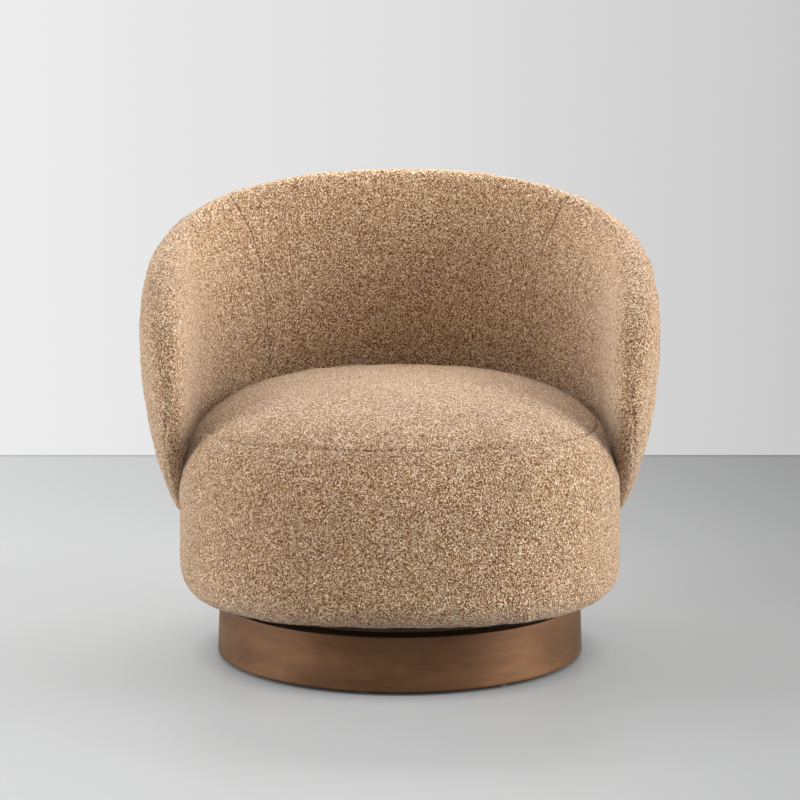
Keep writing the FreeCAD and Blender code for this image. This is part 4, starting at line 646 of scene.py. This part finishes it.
def boucle_group():
    """Height from 0 to 1: the nearer of two sets of wandering lines, plus round nubs and a fine fuzz."""
    group = bpy.data.node_groups.new("boucle_loops", "ShaderNodeTree")
    sockets(group, [("Vector", "NodeSocketVector", None), ("Strands per metre", "NodeSocketFloat", STRANDS_PER_METRE),
                    ("Nubs per metre", "NodeSocketFloat", NUBS_PER_METRE), ("Curl", "NodeSocketFloat", CURL)],
            [("Height", "NodeSocketFloat")])
    start, end = group.nodes.new("NodeGroupInput"), group.nodes.new("NodeGroupOutput")
    link = group.links.new
    warp = add(group, "ShaderNodeTexNoise", Scale=CURLS_PER_METRE, Detail=1.0)
    centred = add(group, "ShaderNodeVectorMath", operation="SUBTRACT")
    centred.inputs[1].default_value = (0.5, 0.5, 0.5)
    pulled = add(group, "ShaderNodeVectorMath", operation="SCALE")
    moved = add(group, "ShaderNodeVectorMath", operation="ADD")
    link(start.outputs["Vector"], warp.inputs["Vector"])
    link(warp.outputs["Color"], centred.inputs[0])
    link(centred.outputs[0], pulled.inputs[0])
    link(start.outputs["Curl"], pulled.inputs["Scale"])
    link(start.outputs["Vector"], moved.inputs[0])
    link(pulled.outputs[0], moved.inputs[1])

    def strands(shift):
        """Nearness to the lines where a noise, moved by a shift, passes its middle value."""
        where = add(group, "ShaderNodeVectorMath", operation="ADD")
        where.inputs[1].default_value = shift
        noise = add(group, "ShaderNodeTexNoise", Detail=0.0)
        away = add(group, "ShaderNodeMath", operation="SUBTRACT")
        away.inputs[1].default_value = 0.5
        size = add(group, "ShaderNodeMath", operation="ABSOLUTE")
        near = add(group, "ShaderNodeMapRange", From_Min=STRAND_REACH, From_Max=0.0)
        link(moved.outputs[0], where.inputs[0])
        link(where.outputs[0], noise.inputs["Vector"])
        link(start.outputs["Strands per metre"], noise.inputs["Scale"])
        link(noise.outputs["Fac"], away.inputs[0])
        link(away.outputs[0], size.inputs[0])
        link(size.outputs[0], near.inputs["Value"])
        return near.outputs["Result"]

    crossing = add(group, "ShaderNodeMath", operation="MULTIPLY")
    link(strands(FIRST_SET), crossing.inputs[0])
    link(strands(SECOND_SET), crossing.inputs[1])
    cells = add(group, "ShaderNodeTexVoronoi", feature="F1", Randomness=1.0)
    nubs = add(group, "ShaderNodeMapRange", From_Min=NUB_REACH, From_Max=0.0)
    link(moved.outputs[0], cells.inputs["Vector"])
    link(start.outputs["Nubs per metre"], cells.inputs["Scale"])
    link(cells.outputs["Distance"], nubs.inputs["Value"])
    fuzz = add(group, "ShaderNodeTexNoise", Scale=FUZZ_PER_METRE, Detail=1.0)
    link(start.outputs["Vector"], fuzz.inputs["Vector"])

    height = None
    for value, share in ((crossing.outputs[0], STRAND_SHARE), (nubs.outputs["Result"], NUB_SHARE),
                         (fuzz.outputs["Fac"], FUZZ_SHARE)):
        node = add(group, "ShaderNodeMath", operation="MULTIPLY_ADD")
        node.inputs[1].default_value = share
        node.inputs[2].default_value = 0.0
        link(value, node.inputs[0])
        if height is not None:
            link(height, node.inputs[2])
        height = node.outputs[0]
    link(height, end.inputs["Height"])
    return group


BOUCLE = boucle_group()
print("group", BOUCLE.name, "has", len(BOUCLE.nodes), "nodes")


# %% The camel boucle
# Ground, middle and crest tones: the middle one is the camel of the yarn, the dark ground is painted shade and the pale
# crests are a painted highlight.
YARN_TONES_WITH_PAINTED_SHADE = [(0.24, (0.175, 0.070, 0.024)), (0.43, (0.680, 0.438, 0.238)), (0.63, (1.000, 0.850, 0.660))]
YARN_DEPTH = 0.0034


def boucle_finish():
    """Camel boucle: loops in the bump, a painted highlight on the crests and painted shade on the ground, and a soft
    sheen.
    """
    material, tree, shader = new_finish("boucle_camel", Roughness=0.95, Sheen_Weight=0.34, Sheen_Roughness=0.4,
                                        Sheen_Tint=(1.0, 0.94, 0.88, 1), Specular_IOR_Level=0.12)
    where = place_coordinates(tree)
    loops = add(tree, "ShaderNodeGroup", node_tree=BOUCLE)
    tree.links.new(where, loops.inputs["Vector"])
    # The loops' height picks the colour: painted shade on the low ground, a painted highlight on the crests.
    tones = ramp(tree, YARN_TONES_WITH_PAINTED_SHADE)
    tree.links.new(loops.outputs["Height"], tones.inputs["Fac"])
    patches = add(tree, "ShaderNodeGroup", node_tree=PATCHY, Scale=9.0, Light=(1.0, 1.0, 1.0, 1),
                  Dark=(0.93, 0.915, 0.90, 1))
    tree.links.new(where, patches.inputs["Vector"])
    tree.links.new(multiplied(tree, tones.outputs["Color"], patches.outputs["Color"]), shader.inputs["Base Color"])
    bumped(tree, shader, loops.outputs["Height"], strength=1.0, depth=YARN_DEPTH)
    return material


boucle = boucle_finish()
print("finish:", boucle.name)

# %% [markdown]
# ## Antiqued bronze
#
# The band is brushed round and then darkened, so long fine streaks lie over slow, cloudy patches of brown.
# The streaks come from noise that is stretched along the UV map's first direction, metres along the circle.
# An anisotropic shine would draw out the reflections, but it shows no strokes of its own.

# %% Bronze of the band
BRONZE_TONES = [(0.30, (0.090, 0.041, 0.018)), (0.52, (0.132, 0.062, 0.027)), (0.74, (0.180, 0.089, 0.040))]
STREAK_TONES = [(0.32, (0.80, 0.80, 0.80)), (0.60, (1.06, 1.06, 1.06))]


def bronze_finish():
    """Brushed, patinated bronze: streaks along the circle over clouds, in colour and in roughness."""
    material, tree, shader = new_finish("bronze_antiqued", Metallic=0.85, Specular_IOR_Level=0.5, Coat_Weight=0.10,
                                        Coat_Roughness=0.35)
    uv = add(tree, "ShaderNodeUVMap", uv_map="around")
    link = tree.links.new

    def streaks(stretch, scale, detail):
        """A noise on the UV map, stretched by its own amount along each direction."""
        mapping = add(tree, "ShaderNodeMapping", Scale=stretch)
        noise = add(tree, "ShaderNodeTexNoise", Scale=scale, Detail=detail, Roughness=0.7)
        link(uv.outputs["UV"], mapping.inputs["Vector"])
        link(mapping.outputs["Vector"], noise.inputs["Vector"])
        return noise.outputs["Fac"]

    fine = streaks(stretch=(2.2, 60.0, 1.0), scale=12.0, detail=6.0)
    cloud = streaks(stretch=(1.0, 3.0, 1.0), scale=5.5, detail=3.0)
    base, shade = ramp(tree, BRONZE_TONES), ramp(tree, STREAK_TONES)
    link(cloud, base.inputs["Fac"])
    link(fine, shade.inputs["Fac"])
    link(multiplied(tree, base.outputs["Color"], shade.outputs["Color"]), shader.inputs["Base Color"])
    dull = add(tree, "ShaderNodeMapRange", To_Min=0.50, To_Max=0.72)
    link(fine, dull.inputs["Value"])
    link(dull.outputs["Result"], shader.inputs["Roughness"])
    bumped(tree, shader, fine, strength=0.12, depth=0.0004)
    return material


bronze = bronze_finish()
print("finish:", bronze.name)

# %% [markdown]
# ## Hidden and half-hidden finishes
#
# Boards, springs, screws and foams are rarely seen, yet each gets its real finish: a maker who turns the chair
# over or lifts a cover should find plywood with grain, zinc on the screws and cast plastic on the glides.
# Each could have nodes of its own. They differ in tones, scale and stretch, so one function makes them all.

# %% A family of plain finishes
def plain_finish(name, light, dark, scale, stretch=(1, 1, 1), depth=0.0003, **constants):
    """A finish whose colour wanders between two tones, with its grain as a slight bump."""
    material, tree, shader = new_finish(name, **constants)
    patches = add(tree, "ShaderNodeGroup", node_tree=PATCHY, Scale=scale, Light=(*light, 1), Dark=(*dark, 1))
    tree.links.new(place_coordinates(tree, stretch), patches.inputs["Vector"])
    tree.links.new(patches.outputs["Color"], shader.inputs["Base Color"])
    bumped(tree, shader, patches.outputs["Mask"], strength=0.5, depth=depth)
    return material


PLAIN = {
    "plywood": plain_finish("plywood_birch", (0.62, 0.46, 0.29), (0.40, 0.27, 0.16), 24, (1, 9, 1), Roughness=0.62),
    "fibreboard": plain_finish("fibreboard_brown", (0.34, 0.24, 0.16), (0.24, 0.16, 0.10), 160, Roughness=0.75),
    "foam": plain_finish("foam_cream", (0.80, 0.74, 0.58), (0.66, 0.60, 0.45), 420, depth=0.0006, Roughness=0.95),
    "felt": plain_finish("felt_grey", (0.36, 0.36, 0.35), (0.22, 0.22, 0.22), 300, depth=0.0006, Roughness=0.97),
    "webbing": plain_finish("webbing_jute", (0.46, 0.36, 0.24), (0.28, 0.20, 0.13), 260, (1, 1, 4), Roughness=0.9),
    "dust_cloth": plain_finish("dust_cloth_black", (0.035, 0.035, 0.037), (0.018, 0.018, 0.02), 520, Roughness=0.9),
    "nylon": plain_finish("nylon_grey", (0.150, 0.145, 0.140), (0.100, 0.096, 0.092), 90, Roughness=0.42),
    "zinc_steel": plain_finish("zinc_steel", (0.66, 0.66, 0.64), (0.44, 0.44, 0.42), 120, Roughness=0.36,
                               Metallic=1.0),
    "plate_steel": plain_finish("plate_steel_black", (0.060, 0.060, 0.062), (0.030, 0.030, 0.031), 70,
                                Roughness=0.48),
    "spring_steel": plain_finish("spring_steel", (0.30, 0.30, 0.31), (0.16, 0.16, 0.17), 150, Roughness=0.38,
                                 Metallic=1.0),
    "bearing_steel": plain_finish("bearing_steel", (0.78, 0.78, 0.78), (0.62, 0.62, 0.63), 60, Roughness=0.14,
                                  Metallic=1.0),
}
print("plain finishes:", ", ".join(PLAIN))

# %% [markdown]
# ## Dressing the model
#
# On the real chair the covers are sewn shells pulled over the foams. On the real chair the covers are sewn
# shells pulled over the foams, so each new cover takes the place of its cover solid, and of the foam behind
# it, which stays in the frame, hidden. Covers turn with the chair, the band stands with the base. Every other
# node keeps its solid and gets the finish that the record names for it, because one table of finishes is
# easier to keep right than a choice made node by node.

# %% Which node wears which finish
SLOT_OF = {row["node"]: row["material_slot"] for row in frame["record"]["subparts"]}
COVERS = {
    "outside_back_cover": outside_cover_piece,
    "inside_back_cover": panel_pieces["cover_inside_back"],
    "inside_arm_cover_left": panel_pieces["cover_inside_arm_left"],
    "inside_arm_cover_right": panel_pieces["cover_inside_arm_right"],
    "seat_top_cover": seat_top,
    "seat_border_cover": seat_border,
}
for node, piece in COVERS.items():
    close_poles(piece)
    give_wall(piece, COVER_WALL)
    piece.data.materials.append(boucle)
    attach(piece, "chair")
    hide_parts(node)
    print(piece.name, "stands for", node)

# %% Foams behind the covers, the band, and the nodes that stay
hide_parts("back_outer_foam")
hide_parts("back_inner_foam")
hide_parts("seat_foam")
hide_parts("seat_side_foam")
plinth_band.data.materials.append(bronze)
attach(plinth_band, "base")
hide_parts("base_band")
for name, node in nodes.items():
    if node.hide_render:
        continue
    node.data.materials.clear()
    node.data.materials.append(PLAIN[SLOT_OF[name]])
print("finished nodes:", sum(not node.hide_render for node in nodes.values()), "of", len(nodes))

# %% [markdown]
# ## Studio
#
# A pale floor meets a paler wall behind the chair. Each is one large face. For the eye they glow with painted
# light, and painted shade deepens it to the right, on the floor also towards the back and close under the chair,
# so they stay pale without more light on the chair; for the lamps' light they are plain paint, and
# the floor keeps the chair's shadow. The wall is clear from behind, so it hides nothing in a view of the back.
# Stronger lamps would make a pale ground as well, but they would bleach the cloth.

# %% Floor and wall
WALL_BEHIND, WALL_REACH, WALL_HEIGHT, FLOOR_REACH = 1.80, 6, 5, 7


def flat_sheet(name, corners):
    """A single face through four corners."""
    return put_in_mesh(name, np.array(corners), [[0, 1, 2, 3]])


def seen_share(tree):
    """1 where the eye, a mirror or glass looks, 0 where light only bounces: the highest of three Light Path flags."""
    path = tree.nodes.new("ShaderNodeLightPath")
    value = path.outputs["Is Camera Ray"]
    for name in ("Is Glossy Ray", "Is Transmission Ray"):
        higher = add(tree, "ShaderNodeMath", operation="MAXIMUM")
        tree.links.new(value, higher.inputs[0])
        tree.links.new(path.outputs[name], higher.inputs[1])
        value = higher.outputs[0]
    return value


def tone_across(tree, axis, from_place, to_place, tones):
    """A grey that runs through several tones along one axis of the sheet."""
    coordinates = tree.nodes.new("ShaderNodeTexCoord")
    split = tree.nodes.new("ShaderNodeSeparateXYZ")
    share = add(tree, "ShaderNodeMapRange", From_Min=from_place, From_Max=to_place)
    tree.links.new(coordinates.outputs["Object"], split.inputs[0])
    tree.links.new(split.outputs[axis], share.inputs["Value"])
    node = ramp(tree, [(where, (tone, tone, tone)) for where, tone in tones])
    tree.links.new(share.outputs["Result"], node.inputs["Fac"])
    return node.outputs["Color"]


print("the wall stands", WALL_BEHIND, "m behind the chair's axis")


# %% Paint of the wall, with painted shade to one side
# The wall's glow runs from pale at the left to darker at the right: painted shade.
WALL_TONES_WITH_PAINTED_SHADE = [(0.0, 0.845), (0.5, 0.745), (1.0, 0.590)]
WALL_SPAN = 0.91


def wall_finish():
    """Wall paint: pale for the lamps' light, a glow for the eye with painted shade that deepens to one side, clear from
    behind.
    """
    material, tree, shader = new_finish("wall_paint", Roughness=0.9, Base_Color=(0.6, 0.6, 0.6, 1))
    link = tree.links.new
    glow, mix = tree.nodes.new("ShaderNodeEmission"), tree.nodes.new("ShaderNodeMixShader")
    # The glow's tone carries the painted shade across the wall.
    link(tone_across(tree, 0, -WALL_SPAN, WALL_SPAN, WALL_TONES_WITH_PAINTED_SHADE), glow.inputs["Color"])
    link(seen_share(tree), mix.inputs[0])
    link(shader.outputs[0], mix.inputs[1])
    link(glow.outputs[0], mix.inputs[2])
    side, clear, one_sided = [tree.nodes.new(kind) for kind in
                              ("ShaderNodeNewGeometry", "ShaderNodeBsdfTransparent", "ShaderNodeMixShader")]
    link(side.outputs["Backfacing"], one_sided.inputs[0])
    link(mix.outputs[0], one_sided.inputs[1])
    link(clear.outputs[0], one_sided.inputs[2])
    link(one_sided.outputs[0], tree.nodes["Material Output"].inputs["Surface"])
    return material


wall_paint = wall_finish()
print("finish:", wall_paint.name, "with the tones", [tone for share, tone in WALL_TONES_WITH_PAINTED_SHADE])

# %% Paint of the floor, with painted shade and a painted contact shadow
# Tones across the floor at the front and at the back: painted shade, darker to the right and towards the back.
FLOOR_FRONT_WITH_PAINTED_SHADE = [(0.0, 0.72), (0.5, 0.68), (1.0, 0.55)]
FLOOR_BACK_WITH_PAINTED_SHADE = [(0.0, 0.73), (0.5, 0.55), (1.0, 0.345)]
FRONT_SPAN, BACK_SPAN = 0.5, 0.9
FLOOR_DEPTHS = (-0.9, 0.6)
FLOOR_PAINT = (0.63, 0.63, 0.63, 1)
# Half of the floor glows for the eye; the second number is how far the painted contact shadow under things reaches.
GLOW_SHARE, PAINTED_CONTACT_SHADOW_REACH = 0.5, 0.05


def floor_finish():
    """Floor paint: for the eye half its tone glows, save close under things, where a painted contact shadow darkens it;
    painted shade deepens the tone to the right and towards the back; the other half takes light and shadow.
    """
    material, tree, shader = new_finish("floor_paint", Roughness=0.40, Specular_IOR_Level=0.3)
    link = tree.links.new
    coordinates, split = tree.nodes.new("ShaderNodeTexCoord"), tree.nodes.new("ShaderNodeSeparateXYZ")
    depth = add(tree, "ShaderNodeMapRange", interpolation_type="SMOOTHSTEP", From_Min=FLOOR_DEPTHS[0],
                From_Max=FLOOR_DEPTHS[1])
    link(coordinates.outputs["Object"], split.inputs[0])
    link(split.outputs[1], depth.inputs["Value"])
    # The tone, in the glow and in the paint, carries the painted shade across the floor.
    tone = add(tree, "ShaderNodeMix", data_type="RGBA")
    link(depth.outputs["Result"], tone.inputs["Factor"])
    link(tone_across(tree, 0, -FRONT_SPAN, FRONT_SPAN, FLOOR_FRONT_WITH_PAINTED_SHADE), tone.inputs[6])
    link(tone_across(tree, 0, -BACK_SPAN, BACK_SPAN, FLOOR_BACK_WITH_PAINTED_SHADE), tone.inputs[7])
    link(multiplied(tree, tone.outputs[2], FLOOR_PAINT), shader.inputs["Base Color"])
    glow, half, mix = [tree.nodes.new(kind) for kind in
                       ("ShaderNodeEmission", "ShaderNodeMath", "ShaderNodeMixShader")]
    half.operation = "MULTIPLY"
    half.inputs[1].default_value = GLOW_SHARE
    # Ambient occlusion darkens the glow close under things: a painted contact shadow.
    near = add(tree, "ShaderNodeAmbientOcclusion", samples=8, Distance=PAINTED_CONTACT_SHADOW_REACH)
    link(tone.outputs[2], near.inputs["Color"])
    link(seen_share(tree), half.inputs[0])
    link(near.outputs["Color"], glow.inputs["Color"])
    link(half.outputs[0], mix.inputs[0])
    link(shader.outputs[0], mix.inputs[1])
    link(glow.outputs[0], mix.inputs[2])
    link(mix.outputs[0], tree.nodes["Material Output"].inputs["Surface"])
    return material


floor_paint = floor_finish()
print("finish:", floor_paint.name, "with the tones", [tone for share, tone in FLOOR_FRONT_WITH_PAINTED_SHADE + FLOOR_BACK_WITH_PAINTED_SHADE])

# %% The two sheets
floor = flat_sheet("studio_floor", [(-FLOOR_REACH, -FLOOR_REACH, 0), (FLOOR_REACH, -FLOOR_REACH, 0),
                                    (FLOOR_REACH, FLOOR_REACH, 0), (-FLOOR_REACH, FLOOR_REACH, 0)])
wall = flat_sheet("studio_wall", [(-WALL_REACH, WALL_BEHIND, 0), (WALL_REACH, WALL_BEHIND, 0),
                                  (WALL_REACH, WALL_BEHIND, WALL_HEIGHT), (-WALL_REACH, WALL_BEHIND, WALL_HEIGHT)])
floor.data.materials.append(floor_paint)
wall.data.materials.append(wall_paint)
print("stage:", floor.name, "and", wall.name)

# %% [markdown]
# ## Light and camera
#
# A large soft lamp on one side gives the form and a smaller one on the other side opens the shade. A weak one
# over the back lights the rim, one from the front keeps the drum's border readable, and a narrow beam reaches
# the inside of the back, which the rest leave dark. A bright world all round would be quicker to set up, but
# with lamps the light on each side can be set by itself. The camera stands back with a long lens, a little above
# the chair, and looks slightly down.


# %% Lamps
def soft_lamp(name, where, target, size, power, colour=(1, 1, 1), beam=180):
    """A rectangular area lamp that faces a target, with its light held in a beam of so many degrees."""
    lamp = bpy.data.lights.new(name, "AREA")
    lamp.shape = "RECTANGLE"
    lamp.size, lamp.size_y = size
    lamp.energy = power
    lamp.spread = np.radians(beam)
    lamp.color = colour
    thing = bpy.data.objects.new(name, lamp)
    thing.location = where
    way = np.array(target, float) - np.array(where, float)
    thing.rotation_euler = Vector(way).to_track_quat("-Z", "Y").to_euler()
    bpy.context.scene.collection.objects.link(thing)
    return thing


COOL, WARM = (0.97, 0.99, 1.0), (1.0, 0.94, 0.87)
soft_lamp("key_right", (4.1, -1.1, 1.5), (0, 0, 0.4), (2.4, 2.6), 302, COOL)
soft_lamp("side_left", (-4.0, -0.8, 1.4), (0, 0, 0.4), (2.0, 2.4), 210, COOL)
soft_lamp("rim_lamp", (0.0, 0.55, 1.3), (0, 0.3, 0.7), (1.1, 0.3), 17)
soft_lamp("front_fill", (0.4, -4.4, 1.2), (0, 0, 0.45), (2.0, 1.2), 13, WARM)
soft_lamp("inside_beam", (0.0, -2.6, 1.35), (0, 0.23, 0.60), (0.5, 0.3), 0.29, WARM, beam=22)
print("lamps:", ", ".join(lamp.name for lamp in bpy.data.lights))

# %% The air round the studio
AIR_FOR_LIGHT, AIR_FOR_EYE = 0.25, 0.60
world = bpy.data.worlds.new("studio_air")
world.use_nodes = True
air = world.node_tree.nodes["Background"]
air.inputs["Color"].default_value = (0.9, 0.92, 0.95, 1)
strength = add(world.node_tree, "ShaderNodeMapRange", To_Min=AIR_FOR_LIGHT, To_Max=AIR_FOR_EYE)
world.node_tree.links.new(seen_share(world.node_tree), strength.inputs["Value"])
world.node_tree.links.new(strength.outputs["Result"], air.inputs["Strength"])
bpy.context.scene.world = world
print("air:", AIR_FOR_LIGHT, "for light and", AIR_FOR_EYE, "for the eye")

# %% Camera
CAMERA_PLACE = (0.0, -3.551, 0.894)
CAMERA_TILT = np.radians(90 - 8.16)
CAMERA_LENS = 106.83
camera_data = bpy.data.cameras.new("studio_camera")
camera_data.lens = CAMERA_LENS
camera_data.sensor_width = 36
camera = bpy.data.objects.new("studio_camera", camera_data)
camera.location = CAMERA_PLACE
camera.rotation_euler = (CAMERA_TILT, 0, 0)
bpy.context.scene.collection.objects.link(camera)
bpy.context.scene.camera = camera
bpy.context.scene.view_settings.view_transform = "Standard"
print("camera:", CAMERA_PLACE, "lens", CAMERA_LENS, "mm")
